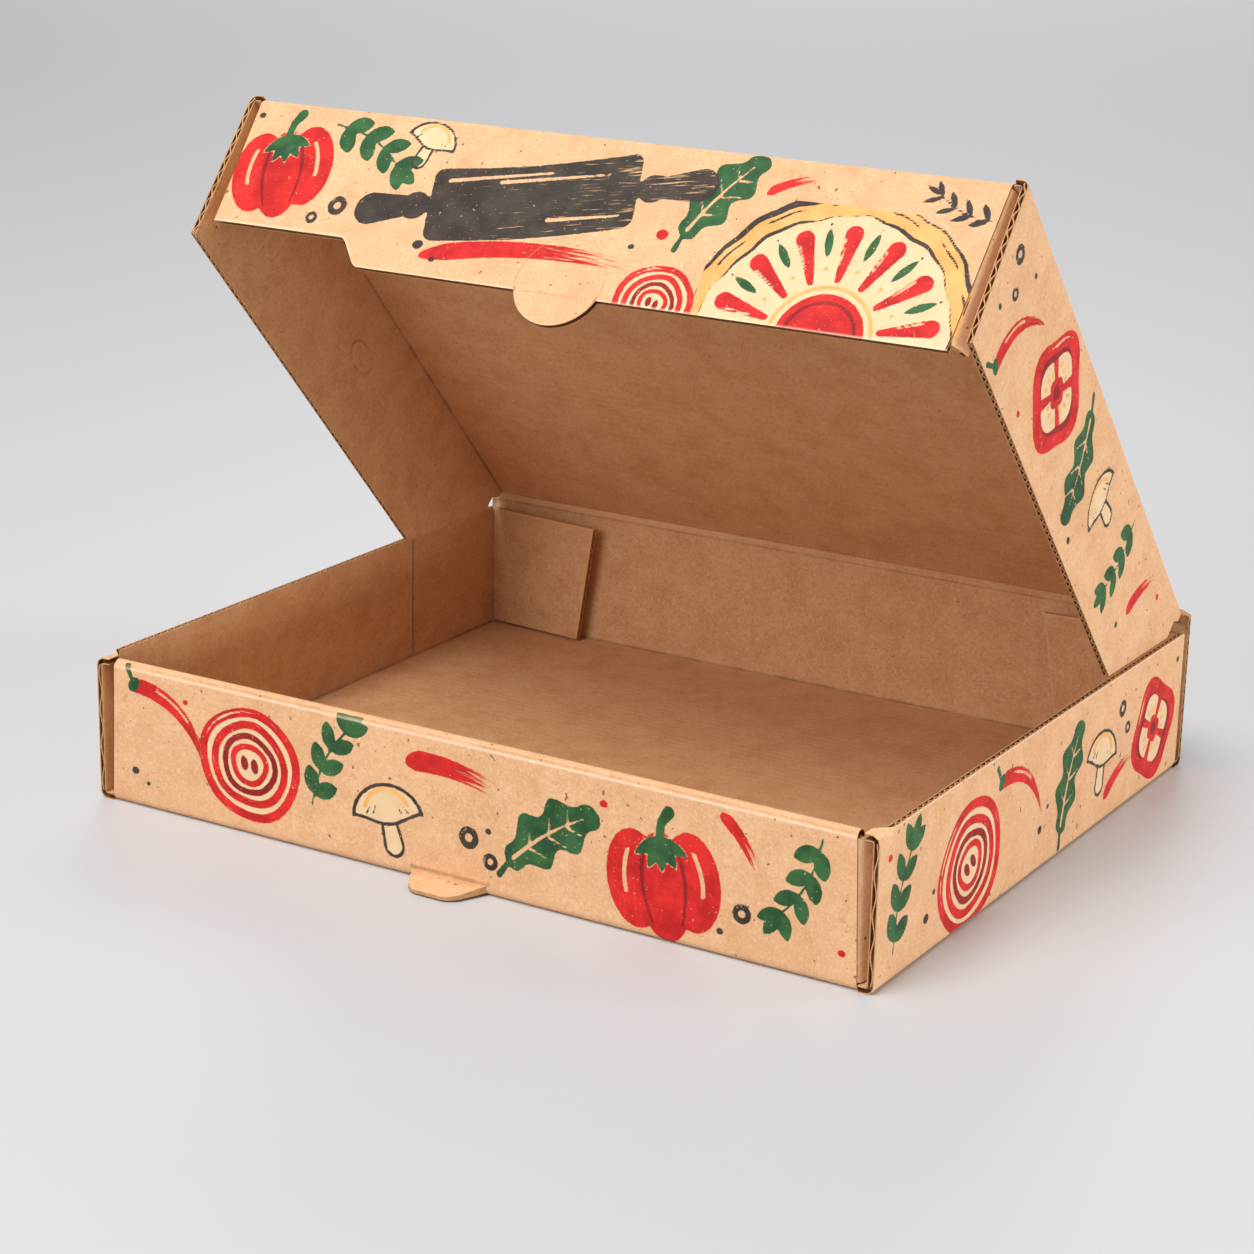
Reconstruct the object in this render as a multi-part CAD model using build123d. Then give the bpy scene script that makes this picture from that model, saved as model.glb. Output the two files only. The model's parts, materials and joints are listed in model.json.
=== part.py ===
from build123d import *
import os
from math import cos, radians, sin

# A take-away box folded from one die-cut sheet of kraft corrugated board.
# The tray and the lid are two ends of that sheet. They are two solids here
# because the lid turns on the fold along the top of the back wall.
# Frame: origin on the table under the middle of the tray, +Z up, the front
# wall towards -Y, the hinge fold along X. Millimetres and degrees.

# Board
board = 2.4
fold_inside = 0.6            # inner radius of an ordinary fold
layer_gap = 0.6              # air between the two layers of the front wall
loose_fit = 0.5              # air between panels that only lie against each other

# Flutes, which run across the box and up its sides, open at the raw edges
flute_pitch = 4.0
liner = 0.4
medium = 0.4
flute_show = 2.0             # depth of the open flutes at a raw edge
cut_past = 1.0               # how far a cutting shape runs past the board

# Tray
tray_width = 322.0           # over the side walls
tray_depth = 264.0           # front face to back face
wall_height = 55.0           # front and side walls, above the table
hinge_rise = 6.0             # hinge fold above the side walls' raw edges

# Front corners of the tray and of the lid
face_inset = 6.5             # printed face ends this far inside the side's outer face
corner_gap = 1.2             # dark slot between a side's board and the ear
ear_reach = 8.0              # ear's end behind the front face

# Rear corner flaps, the folded-in ends of the side walls
flap_top_length = 56.0
flap_bottom_length = 47.0
flap_lean = 5.0              # degrees off the back wall
flap_drop = 0.8              # flap's top edge below the side wall's

# Lock tongue that comes out under the front wall
tongue_width = 31.0
tongue_tip_width = 18.0
tongue_reach = 13.0
tongue_height = 4.2          # top of its slot above the table
tongue_x = -4.0
tongue_slope = 5.0           # degrees down from its slot
tongue_tip_radius = 4.0

# Scored line across each side wall's inner face
score_from_back = 62.0
score_width = 0.9
score_depth = 0.7

# Lid
open_angle = 48.0            # lid panel above level as it stands
hinge_clearance = 0.2        # running gap at the fold, and beside the lid's panels
side_clearance = 0.6         # between a lid side panel and the tray's side wall
front_play = 3.4             # closed lid's front fold behind the tray's front wall
front_flap_lean = 9.0        # degrees that the front flap is folded past square
flap_extra = 9.0             # front flap deeper than the tray's walls are high
side_extra = 5.0             # the same for a side panel, at its front
side_extra_rear = 2.0        # and where its slanted rear edge begins
rear_edge_foot = 44.0        # hinge line to that point, along the lid
rear_play = 1.7              # closed side panel in front of the rear corner flap
rear_notch_depth = 14.8      # depth at which the rear edge's steep part ends
step_width = 58.0            # shallow left end of the front flap
step_slant = 9.0
step_depth = 11.0
thumb_width = 33.0
thumb_drop = 12.0
edge_corner_radius = 2.0     # rounded corners of the step
thumb_x = 2.0
vent_length = 17.0           # scored oval in each lid side panel
vent_width = 10.5
vent_from_hinge = 128.0
vent_depth_place = 25.0
vent_score = 0.5

# Sizes that follow
half_width = tray_width / 2
y_front = -tray_depth / 2
y_back = tray_depth / 2
fold_outside = fold_inside + board
fold_middle = fold_inside + board / 2
hinge_y = y_back - board / 2
hinge_z = wall_height + hinge_rise
face_half = half_width - face_inset
front_thickness = 2 * board + layer_gap
ear_outer = half_width - board - corner_gap
lid_length = tray_depth - board / 2 - front_thickness - front_play
front_flap_depth = wall_height + flap_extra
lid_side_depth = wall_height + side_extra
lid_side_depth_rear = wall_height + side_extra_rear
rear_notch = board / 2 + loose_fit + board + rear_play
lid_inset = board + side_clearance
lid_half = half_width - lid_inset
lid_face_half = lid_half - face_inset
lid_ear_outer = lid_half - board - corner_gap


def strip(start, corner, end, radius):
    """Cross-section of board from start to end round one fold of this centre-line radius."""
    first = (Vector(*corner) - Vector(*start)).normalized()
    second = (Vector(*end) - Vector(*corner)).normalized()
    left_1 = Vector(-first.Y, first.X)
    left_2 = Vector(-second.Y, second.X)
    off_1 = left_1 * (board / 2)
    off_2 = left_2 * (board / 2)
    mitre = (off_1 + off_2) * (1 / (1 + left_1.dot(left_2)))
    a, b, c = Vector(*start), Vector(*corner), Vector(*end)
    face = make_face(Polyline(a + off_1, b + mitre, c + off_2, c - off_2, b - mitre, a - off_1, close=True))
    inside = mitre if first.cross(second).Z > 0 else -mitre
    face = fillet(face.vertices().sort_by_distance(b + inside)[0], radius - board / 2)
    return fillet(face.vertices().sort_by_distance(b - inside)[0], radius + board / 2)


def flutes(length, count):
    """Pockets beside the zigzag medium, as seen on an edge cut across the flutes (along x)."""
    pitch = length / count
    band = board / 2 - liner
    pockets = []
    for i in range(count):
        left = -length / 2 + i * pitch
        low = [(left + medium, -band), (left + pitch - medium, -band), (left + pitch / 2, band - medium)]
        pockets.append(make_face(Polyline(*low, close=True)))
        if i < count - 1:
            middle = left + pitch
            high = [(middle - pitch / 2 + medium, band), (middle + pitch / 2 - medium, band),
                    (middle, medium - band)]
            pockets.append(make_face(Polyline(*high, close=True)))
    return Sketch() + pockets


def along_x(face, start, end):
    """Extrude a section drawn as (y, z) from x = start to x = end."""
    return extrude(Plane.YZ.offset(start) * face, amount=end - start)


def along_y(face, start, end):
    """Extrude a section drawn as (x, z) from y = start to y = end."""
    plane = Plane(origin=(0, start, 0), x_dir=(1, 0, 0), z_dir=(0, -1, 0))
    return extrude(plane * face, amount=-(end - start))


def along_z(face, start, end):
    """Extrude a section drawn as (x, y) from z = start to z = end."""
    return extrude(Plane.XY.offset(start) * face, amount=end - start)


def both_sides(solid):
    """The solid and its mirror image on the other side of the box."""
    return solid + mirror(solid, about=Plane.YZ)


def side_wall():
    """Right side wall: bottom fold, panel, rear corner fold and the flap behind it."""
    middle_x = half_width - board / 2
    section = strip(
        (half_width - 2 * fold_outside, board / 2), (middle_x, board / 2), (middle_x, wall_height),
        fold_middle)
    corner_y = y_back - board - loose_fit - board / 2
    wall = along_y(section, y_front, corner_y - fold_middle)
    notch = Pos(middle_x, y_front, wall_height) * Box(2 * board, 2 * ear_reach, wall_height)
    wall = wall - notch + top_hook()

    lean = radians(flap_lean)
    tip = (middle_x - flap_top_length * cos(lean), corner_y - flap_top_length * sin(lean))
    plan = strip((middle_x, corner_y - 3 * fold_outside), (middle_x, corner_y), tip, fold_middle)
    flap = along_z(plan, fold_outside + loose_fit, wall_height - flap_drop)
    far = middle_x - flap_top_length - board
    near_top = middle_x - flap_top_length * cos(lean)
    near_low = middle_x - flap_bottom_length
    slope = make_face(Polyline(
        (far, wall_height), (near_top, wall_height), (near_low, 0), (far, 0), close=True))
    flap -= along_y(slope, corner_y - flap_top_length, y_back)

    score_y = corner_y - score_from_back
    groove = Box(score_depth, score_width, wall_height)
    groove = Pos(half_width - board + score_depth / 2, score_y, board + wall_height / 2) * groove
    return wall + flap - groove - top_flutes(corner_y)


def top_hook():
    """Front end of the side wall: its top is bent in over the ear of the front wall."""
    middle_x = half_width - board / 2
    top = wall_height - board / 2
    section = strip((middle_x, wall_height / 2), (middle_x, top), (face_half + loose_fit, top), fold_middle)
    return along_y(section, y_front, y_front + ear_reach)


def top_flutes(corner_y):
    """Open flutes along the side wall's raw top edge, from the front roll to the rear fold."""
    start = y_front + 2 * front_thickness
    length = corner_y - 2 * fold_outside - start
    row = flutes(length, round(length / flute_pitch))
    place = Pos(half_width - board / 2, start + length / 2, wall_height - flute_show) * Rot(0, 0, 90)
    return place * extrude(row, amount=flute_show + cut_past)


def front_wall():
    """Front wall: the outer panel rolls over at the top and comes down inside."""
    outer_y = y_front + board / 2
    inner_y = outer_y + board + layer_gap
    roll = (board + layer_gap) / 2
    roll_z = wall_height - roll - board / 2
    outer = strip(
        (y_front + 2 * fold_outside, board / 2), (outer_y, board / 2), (outer_y, roll_z), fold_middle)
    half_disc = Circle(roll + board / 2) & Pos(0, roll + board) * Rectangle(4 * board, 2 * (roll + board))
    over = Pos(outer_y + roll, roll_z) * (half_disc - Circle(roll - board / 2))
    inner = Pos(inner_y, (roll_z + board) / 2) * Rectangle(board, roll_z - board)
    return along_x(outer + over + inner, -face_half, face_half)


def front_ear(outer, face_end, reach, low, high):
    """Ear of the front panel: its end bends back beside the side panel (plan in x, y from 0)."""
    middle = outer - board / 2
    bend = outer - face_end - board / 2
    plan = strip((face_end - board, board / 2), (middle, board / 2), (middle, reach), bend)
    return along_z(plan, low, high)


def back_wall():
    """Back wall with its bottom fold; its top edge is rounded about the hinge line."""
    section = strip(
        (y_back - 2 * fold_outside, board / 2), (hinge_y, board / 2), (hinge_y, hinge_z), fold_middle)
    panel = along_x(section, -half_width, half_width)
    round_top = Rot(0, 90, 0) * Cylinder(board / 2, tray_width)
    return panel + Pos(0, hinge_y, hinge_z) * round_top - both_sides(end_flutes())


def end_flutes():
    """Open flutes on the back wall's raw end."""
    length = hinge_z - 2 * fold_outside
    row = flutes(length, round(length / flute_pitch))
    place = Pos(half_width - flute_show, hinge_y, fold_outside + length / 2) * Rot(0, 90, 0)
    return place * extrude(row, amount=flute_show + cut_past)


def lock_tongue():
    """Tongue of the inner front panel, out through its slot and down towards the table."""
    half = tongue_width / 2
    tip = tongue_tip_width / 2
    outline = make_face(Polyline(
        (-half, front_thickness), (half, front_thickness), (half, 0), (tip, -tongue_reach),
        (-tip, -tongue_reach), (-half, 0), close=True))
    corners = outline.vertices().group_by(Axis.Y)[0]
    plate = extrude(fillet(corners, tongue_tip_radius), amount=board)
    low = tongue_height - loose_fit - board
    return Pos(tongue_x, y_front, low) * Rot(tongue_slope, 0, 0) * plate


def make_tray():
    floor_x = tray_width - 2 * fold_outside
    floor_y = tray_depth - 2 * fold_outside
    floor = Pos(0, 0, board / 2) * Box(floor_x, floor_y, board)
    ear = Pos(0, y_front, 0) * front_ear(
        ear_outer, face_half, ear_reach, fold_outside, wall_height - front_thickness / 2)
    slot = Box(tongue_width + 2 * loose_fit, 2 * board, tongue_height)
    slot = Pos(tongue_x, y_front, tongue_height / 2) * slot
    tray = floor + both_sides(side_wall()) + (front_wall() - slot) + back_wall() + both_sides(ear)
    return tray + lock_tongue()


def lid_side():
    """Right lid side panel. The lid is drawn closed, with the hinge line at y = z = 0."""
    middle_x = lid_half - board / 2
    section = strip(
        (lid_half - 2 * fold_outside, 0), (middle_x, 0), (middle_x, -lid_side_depth - board), fold_middle)
    panel = along_y(section, -lid_length, -board / 2 - hinge_clearance)
    front_back = lid_side_depth * sin(radians(front_flap_lean))
    front_down = lid_side_depth * cos(radians(front_flap_lean)) - board / 2
    start = board / 2 + hinge_clearance
    outline = make_face(Polyline(
        (-start, board), (-start, -fold_inside), (-rear_notch, -fold_inside - rear_notch + start),
        (-rear_notch, -rear_notch_depth), (-rear_edge_foot, -lid_side_depth_rear),
        (-lid_length + front_back, -front_down), (-lid_length, board / 2), (-lid_length, board),
        close=True))
    panel = panel & along_x(outline, 0, tray_width)
    oval = Ellipse(vent_length / 2, vent_width / 2) - Ellipse(
        vent_length / 2 - vent_score, vent_width / 2 - vent_score)
    score = extrude(Plane.YZ.offset(lid_half - board) * oval, amount=vent_score)
    return panel - Pos(0, -vent_from_hinge, -vent_depth_place) * score - low_flutes(front_back, front_down)


def low_flutes(front_back, front_down):
    """Open flutes along the lid side panel's lower edge, square to that edge."""
    rear = Vector(0, -rear_edge_foot, -lid_side_depth_rear)
    front = Vector(0, front_back - lid_length, -front_down)
    along = (front - rear).normalized()
    length = (front - rear).length - 2 * flute_pitch
    row = flutes(length, round(length / flute_pitch))
    middle = (rear + front) * 0.5 + Vector(lid_half - board / 2, 0, 0)
    plane = Plane(origin=middle, x_dir=along, z_dir=along.cross(Vector(1, 0, 0)))
    return plane.offset(-flute_show) * extrude(row, amount=flute_show + cut_past)


def front_flap():
    """Front flap in its own plane: x across, y down the flap from the front fold, z outwards."""
    low = -front_flap_depth
    shallow = low + step_depth
    left = -lid_face_half
    thumb = thumb_width / 2
    slant_low = (left + step_width + step_slant, low)
    edge = [
        Line((left, 0), (left, shallow)),
        Line((left, shallow), (left + step_width, shallow)),
        Line((left + step_width, shallow), slant_low),
        Line(slant_low, (thumb_x - thumb, low)),
        ThreePointArc((thumb_x - thumb, low), (thumb_x, low - thumb_drop), (thumb_x + thumb, low)),
        Line((thumb_x + thumb, low), (-left, low)),
        Line((-left, low), (-left, 0)),
        Line((-left, 0), (left, 0))]
    face = make_face(Wire(edge))
    corners = [face.vertices().sort_by_distance(point)[0] for point in ((left + step_width, shallow), slant_low)]
    return extrude(fillet(corners, edge_corner_radius), amount=-board)


def make_lid():
    """Lid, drawn closed about the hinge line and then turned up to where it stands."""
    start = board / 2 + hinge_clearance
    top_y = lid_length - fold_outside - start
    top = Pos(0, -start - top_y / 2, 0) * Box(2 * (lid_half - fold_outside), top_y, board)
    rear = Pos(0, -start - board / 2, 0) * Box(2 * lid_half, board, board)

    lean = radians(front_flap_lean)
    fold_y = -lid_length + board / 2
    foot = (fold_y + fold_outside * 2 * sin(lean), -fold_outside * 2 * cos(lean))
    fold = along_x(
        strip((-lid_length + 2 * fold_outside, 0), (fold_y, 0), foot, fold_middle),
        -lid_face_half, lid_face_half)
    plane = Plane(
        origin=(0, -lid_length, board / 2), x_dir=(1, 0, 0), z_dir=(0, -cos(lean), -sin(lean)))
    fold_zone = Box(tray_width, 2 * fold_outside, 4 * board)
    flap = plane * (front_flap() - fold_zone)
    ear = front_ear(
        lid_ear_outer, lid_face_half, ear_reach, step_depth - front_flap_depth, -2 * fold_outside)
    upright = Plane(
        origin=(0, -lid_length, board / 2), x_dir=(1, 0, 0), z_dir=(0, -sin(lean), cos(lean)))
    ears = both_sides(upright * ear)
    lid = top + rear + both_sides(lid_side()) + fold + flap + ears
    return Pos(0, hinge_y, hinge_z) * Rot(-open_angle, 0, 0) * lid


tray = make_tray()
lid = make_lid()

os.makedirs("parts", exist_ok=True)
export_step(tray, "parts/tray.step")
export_step(lid, "parts/lid.step")
for name, solid in (("tray", tray), ("lid", lid)):
    box = solid.bounding_box()
    print(name, len(solid.solids()), "solid", round(solid.volume), box.min, box.max)
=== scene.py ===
# %% [markdown]
# A take-away pizza box in kraft corrugated board, standing open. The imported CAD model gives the
# frame: two bodies, the tray and the lid, and the hinge between them. Everything here is worked out
# in millimetres and turned to metres when it becomes a mesh.

# %% Load the frame and keep the CAD box
import json
import math

import bpy
import numpy as np
from mathutils import Matrix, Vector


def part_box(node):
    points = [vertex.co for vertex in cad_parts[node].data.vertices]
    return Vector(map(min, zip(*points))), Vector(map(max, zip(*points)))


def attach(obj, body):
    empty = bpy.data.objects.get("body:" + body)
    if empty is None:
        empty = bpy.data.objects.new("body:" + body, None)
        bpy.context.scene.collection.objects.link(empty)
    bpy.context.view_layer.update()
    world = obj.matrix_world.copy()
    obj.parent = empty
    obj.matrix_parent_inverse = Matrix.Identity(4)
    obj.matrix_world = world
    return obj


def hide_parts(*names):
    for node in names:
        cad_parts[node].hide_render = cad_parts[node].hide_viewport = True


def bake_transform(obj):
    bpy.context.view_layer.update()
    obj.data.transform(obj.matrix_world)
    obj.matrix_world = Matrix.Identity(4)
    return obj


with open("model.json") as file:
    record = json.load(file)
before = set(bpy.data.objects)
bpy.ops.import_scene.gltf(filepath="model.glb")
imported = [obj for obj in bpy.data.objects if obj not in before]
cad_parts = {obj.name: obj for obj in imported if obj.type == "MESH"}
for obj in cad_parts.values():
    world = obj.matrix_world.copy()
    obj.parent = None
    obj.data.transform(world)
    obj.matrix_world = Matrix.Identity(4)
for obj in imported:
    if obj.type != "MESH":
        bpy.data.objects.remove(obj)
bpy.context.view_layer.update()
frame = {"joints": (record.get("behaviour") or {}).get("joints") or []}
MM = 0.001
tray_low, tray_high = (np.array(corner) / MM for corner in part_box("tray"))
hinge = frame["joints"][0]

# %% [markdown]
# Corrugated board is three papers: an outer liner that takes the print, a wavy medium and an inner
# liner. The whole box has one thickness and one fold radius, so both are set once.

# %% Board and box sizes
BOARD = 2.4          # liner, medium and liner together
LINER = 0.4          # one liner's paper, drawn a little thick so that it shows
MEDIUM = 0.45        # the wavy paper, drawn thick for the same reason
FLUTE = 4.0          # one wave of the medium
OPEN_DEPTH = 3.0     # how far the raw edges are open between the liners
FOLD = 1.8           # centre-line radius of a fold
HALF = BOARD / 2
GRID = 0.8           # mesh spacing where there is print
COARSE = 6.0         # mesh spacing where there is none

wall_x = tray_high[0]
front_y = -132.0
back_y = tray_high[1]
wall_top = 55.0
hinge_y, hinge_z = (float(hinge["pos_m"][i]) / MM for i in (1, 2))
open_angle = math.radians(48)
print("walls at", wall_x, "hinge at", hinge_y, hinge_z)

# %% [markdown]
# A fold is the board's centre line turned round an arc. `fold_path` walks along a bent line and
# gives points with their normals: straight runs get points at their own spacing, and each corner
# becomes an arc. The board's two faces then lie half a thickness to each side, so folds come out
# with a true outside and inside radius.

# %% Centre line with rounded corners
ARC_STEPS = 6


def unit(vector):
    """The vector at length one."""
    vector = np.asarray(vector, float)
    return vector / np.linalg.norm(vector)


def fold_path(corners, radii, spacings):
    """Points and left normals on a bent line whose inner corners are arcs of the given radii.

    A run from p to q is p + t (q - p). An arc about c is c - way radius (normal turned by a), with
    a going from nought to the corner's turn. A corner with no turn only parts two spacings."""
    corners = np.asarray(corners, float)
    units = [unit(q - p) for p, q in zip(corners[:-1], corners[1:])]
    normals = [np.array([-way[1], way[0]]) for way in units]
    turns = [math.atan2(a[0] * b[1] - a[1] * b[0], a @ b) for a, b in zip(units[:-1], units[1:])]
    cuts = [0] + [r * math.tan(abs(turn) / 2) for r, turn in zip(radii, turns)] + [0]
    points, sides = [], []
    for i, way in enumerate(units):
        start, end = corners[i] + way * cuts[i], corners[i + 1] - way * cuts[i + 1]
        count = max(1, math.ceil(np.linalg.norm(end - start) / spacings[i])) + 1
        t = np.linspace(0, 1, count)[:, None]
        first = 1 if i and abs(turns[i - 1]) < 1e-6 else 0
        points.append((start + t * (end - start))[first:])
        sides.append(np.repeat(normals[i][None], count - first, 0))
        if i < len(turns) and abs(turns[i]) > 1e-6:
            a = turns[i] * np.linspace(0, 1, ARC_STEPS + 1)[1:-1]
            bend = math.copysign(radii[i], turns[i])
            side = np.outer(np.cos(a), normals[i]) - np.outer(np.sin(a), way)
            points.append(end + normals[i] * bend - side * bend)
            sides.append(side)
    return np.concatenate(points), np.concatenate(sides)


bend_points, _ = fold_path([(0, 0), (10, 0), (10, 10)], [FOLD], [5, 5])
print("a folded line has", len(bend_points), "points and ends at", bend_points[-1])

# %% [markdown]
# A raw edge of this board is a slot between two thin liners. The board's section is one closed
# loop: along the outer face, round the open end, back along the inner face and round the other
# end. Each loop point also knows where it goes when the cut is set in by one liner, which makes the
# same slot on the two end cuts.

# %% Section of the board as a closed loop
SHUT, OPEN = 0, 1
OUTSIDE, INSIDE, CUT, WAVE = 0, 1, 2, 3
LEG = 0.02           # what is left of a liner where two slots meet


def end_slot(point, side, along, kind):
    """The loop's points across one end of the section, and the same points set in.

    An open end steps in by one liner, down by OPEN_DEPTH, across and up again."""
    if kind == SHUT:
        return np.zeros((0, 2)), np.zeros((0, 2))
    reach = HALF - LINER
    steps = np.array([(reach, 0), (reach, -OPEN_DEPTH), (-reach, -OPEN_DEPTH), (-reach, 0)])
    inner = steps - [(LEG, 0), (LEG, 0), (-LEG, 0), (-LEG, 0)]
    return [point + part[:, :1] * side + part[:, 1:] * along for part in (steps, inner)]


def section(corners, radii, fine, coarse, ends):
    """The board's section as a closed loop, the loop set in by one liner, and each point's face.

    The outer face is the left side of the line, with the fine spacings; the inner face is the
    right side, with the coarse ones."""
    outer, outer_side = fold_path(corners, radii, fine)
    inner, inner_side = fold_path(corners, radii, coarse)
    last, first = (unit(np.subtract(corners[a], corners[b])) for a, b in ((-1, -2), (0, 1)))
    tail, tail_in = end_slot(outer[-1], outer_side[-1], last, ends[1])
    head, head_in = end_slot(outer[0], -outer_side[0], first, ends[0])
    core = HALF - LINER + LEG
    loop = [outer + outer_side * HALF, tail, (inner - inner_side * HALF)[::-1], head]
    inset = [outer + outer_side * core, tail_in, (inner - inner_side * core)[::-1], head_in]
    end_faces = {SHUT: [CUT], OPEN: [CUT, WAVE, WAVE, WAVE, CUT]}
    faces = [np.full(len(outer) - 1, OUTSIDE), end_faces[ends[1]],
             np.full(len(inner) - 1, INSIDE), end_faces[ends[0]]]
    return np.concatenate(loop), np.concatenate(inset), np.concatenate(faces)


# %% [markdown]
# Panels are lofts: the section's loop is repeated ring after ring along the fold, and a small
# function says where a loop point lies on each ring. Faces join each ring to the next, and one
# many-sided face closes each end. An end cut that is open gets two more rings: one set in by a
# liner, and one set in and pushed back.

# %% Rings to a closed shell


def columns(breaks, spacing):
    """Positions from the first break to the last, with every break among them."""
    spans = [np.linspace(a, b, max(1, round(abs(b - a) / spacing)) + 1)[1:]
             for a, b in zip(breaks[:-1], breaks[1:])]
    return np.concatenate([breaks[:1]] + spans)


def pushed_back(ring, neighbour, set_in):
    """The two rings of an open end cut: set in, and set in and pushed towards the neighbour."""
    back = neighbour - ring
    back = back / np.linalg.norm(back, axis=1)[:, None]
    return [set_in, set_in + back * OPEN_DEPTH]


def closed_shell(rings, slots):
    """Points, quads between the rings, a face on each end ring, and the quads' materials."""
    index = np.arange(rings.shape[0] * rings.shape[1]).reshape(rings.shape[:2])
    after = np.roll(index, -1, axis=1)
    quads = np.stack([index[:-1], index[1:], after[1:], after[:-1]], -1).reshape(-1, 4)
    return rings.reshape(-1, 3), quads, [index[0], index[-1][::-1]], slots.ravel()


def loft(shape, place, stations, cuts=(SHUT, SHUT)):
    """Closed shell of a section carried through stations.

    place(a, b, s) gives x, y, z for loop coordinates a, b and station s, as whole arrays."""
    loop, inset, faces = shape
    s = np.asarray(stations, float)[:, None]
    rings = np.stack(np.broadcast_arrays(*place(loop[None, :, 0], loop[None, :, 1], s)), -1)
    set_in = np.stack(np.broadcast_arrays(*place(inset[None, :, 0], inset[None, :, 1], s[[0, -1]])), -1)
    slots = np.tile(faces, (len(s) - 1, 1))
    edge = np.repeat([[WAVE], [CUT]], len(loop), axis=1)
    if cuts[0] == OPEN:
        rings = np.concatenate([pushed_back(rings[0], rings[1], set_in[0])[::-1], rings])
        slots = np.concatenate([edge, slots])
    if cuts[1] == OPEN:
        rings = np.concatenate([rings, pushed_back(rings[-1], rings[-2], set_in[1])])
        slots = np.concatenate([slots, edge[::-1]])
    return closed_shell(rings, slots)


# %% [markdown]
# The wavy paper is a ribbon that snakes between the liners just inside each raw edge. Its section
# is a thin rectangle, carried along the edge on a sine wave. Across the flutes the wave is the
# board's own pitch; along the flutes a cut only wanders in and out of one wave, so it is long.

# %% Ribbon of medium along a raw edge
WAVE_STEPS = 10      # rings to one wave
SWING = HALF - LINER - MEDIUM / 2
LONG_WAVE = 14.0
SLANT_WAVE = 6.0     # the lid's front cut is on a slant, so it meets the waves sooner
RECESS = 0.1         # the ribbon's edge lies this far inside the cut


def ribbon(start, end, inward, thick, pitch=FLUTE):
    """Closed shell of a ribbon from start to end: centre + thick SWING sin(2 pi s / pitch)."""
    start, end, inward, thick = (np.asarray(v, float) for v in (start, end, inward, thick))
    along = unit(end - start)
    length = np.linalg.norm(end - start)
    s = np.linspace(0, length, max(2, round(length / pitch * WAVE_STEPS)) + 1)
    wave = SWING * np.sin(2 * np.pi * s / pitch)
    slope = SWING * 2 * np.pi / pitch * np.cos(2 * np.pi * s / pitch)
    normal = thick - slope[:, None] * along
    normal *= MEDIUM / 2 / np.linalg.norm(normal, axis=1)[:, None]
    centre = start + s[:, None] * along + wave[:, None] * thick
    near, far = centre + inward * RECESS, centre + inward * (OPEN_DEPTH - RECESS)
    rings = np.stack([near - normal, near + normal, far + normal, far - normal], 1)
    return closed_shell(rings, np.full((len(rings) - 1, 4), CUT))


def mirrored(shell):
    """The same shell on the other side of the box."""
    points, quads, caps, slots = shell
    return points * [-1, 1, 1], quads, caps, slots


# %% [markdown]
# Every piece becomes a mesh in the same way: whole arrays go in with foreach_set, and a shell whose
# signed volume is negative is turned over, so that faces point outwards.

# %% Arrays to a mesh object
SHARP_ANGLE = math.radians(35)       # faces that meet at less are shaded as one


def signed_volume(points, faces):
    """Sum of the tetrahedra from the shell's first point to each face's fan of triangles."""
    rings = points[faces] - points[0]
    fan = np.cross(rings[:, 1:-1], rings[:, 2:])
    return (rings[:, :1] * fan).sum() / 6


def make_piece(name, shells, materials, fields=None):
    """One mesh object from shells in millimetres. fields(points) gives the point attributes."""
    points, corners, sizes, slots, start = [], [], [], [], 0
    for shell, quads, caps, quad_slots in shells:
        volume = signed_volume(shell, quads) + sum(signed_volume(shell, cap[None]) for cap in caps)
        way = 1 if volume > 0 else -1
        points.append(shell)
        corners += [(quads[:, ::way] + start).ravel()] + [cap[::way] + start for cap in caps]
        sizes += [np.full(len(quads), 4), [len(cap) for cap in caps]]
        slots += [quad_slots, [CUT] * len(caps)]
        start += len(shell)
    points = np.concatenate(points)
    corners, sizes, slots = (np.concatenate(part).astype(np.int32) for part in (corners, sizes, slots))
    mesh = bpy.data.meshes.new(name)
    mesh.vertices.add(len(points))
    mesh.vertices.foreach_set("co", (points * MM).astype(np.float32).ravel())
    mesh.loops.add(len(corners))
    mesh.loops.foreach_set("vertex_index", corners)
    mesh.polygons.add(len(sizes))
    mesh.polygons.foreach_set("loop_start", np.cumsum(np.append(0, sizes[:-1])).astype(np.int32))
    for material in materials:
        mesh.materials.append(material)
    mesh.polygons.foreach_set("material_index", slots)
    for label, values in (fields(points) if fields else {}).items():
        layer = mesh.attributes.new(label, "FLOAT_VECTOR", "POINT")
        layer.data.foreach_set("vector", values.astype(np.float32).ravel())
    mesh.update(calc_edges=True)
    mesh.set_sharp_from_angle(angle=SHARP_ANGLE)
    piece = bpy.data.objects.new(name, mesh)
    bpy.context.scene.collection.objects.link(piece)
    print(name, len(points), "points", int((sizes - 2).sum()), "triangles")
    return piece


# %% [markdown]
# The print is flat ink: red, a deep red, green, charcoal, gold and cream on bare kraft. It could be
# an image, but shapes worked out as signed distances stay crisp at any size. A distance is under
# nought inside a shape and over nought outside, in millimetres, so a union is the smaller of two
# distances and a hole is a larger one. The mesh carries these distances from point to point, and
# the material draws the ink where they are under nought.

# %% Distances to simple shapes
INKS = ("red", "deep", "green", "charcoal", "gold", "cream")
BRUSH = ("across", "along", "dry")
GROUPS = {"ink_a": INKS[:3], "ink_b": INKS[3:], "brush": BRUSH}      # three to one vector attribute
FAR = 9.0            # millimetres; more is as good as nowhere


def turned_about(p, q, place, degrees=0.0):
    """Panel coordinates moved so that place is the origin, and turned back by the angle."""
    a = math.radians(degrees)
    p, q = p - place[0], q - place[1]
    return p * math.cos(a) + q * math.sin(a), q * math.cos(a) - p * math.sin(a)


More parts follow.
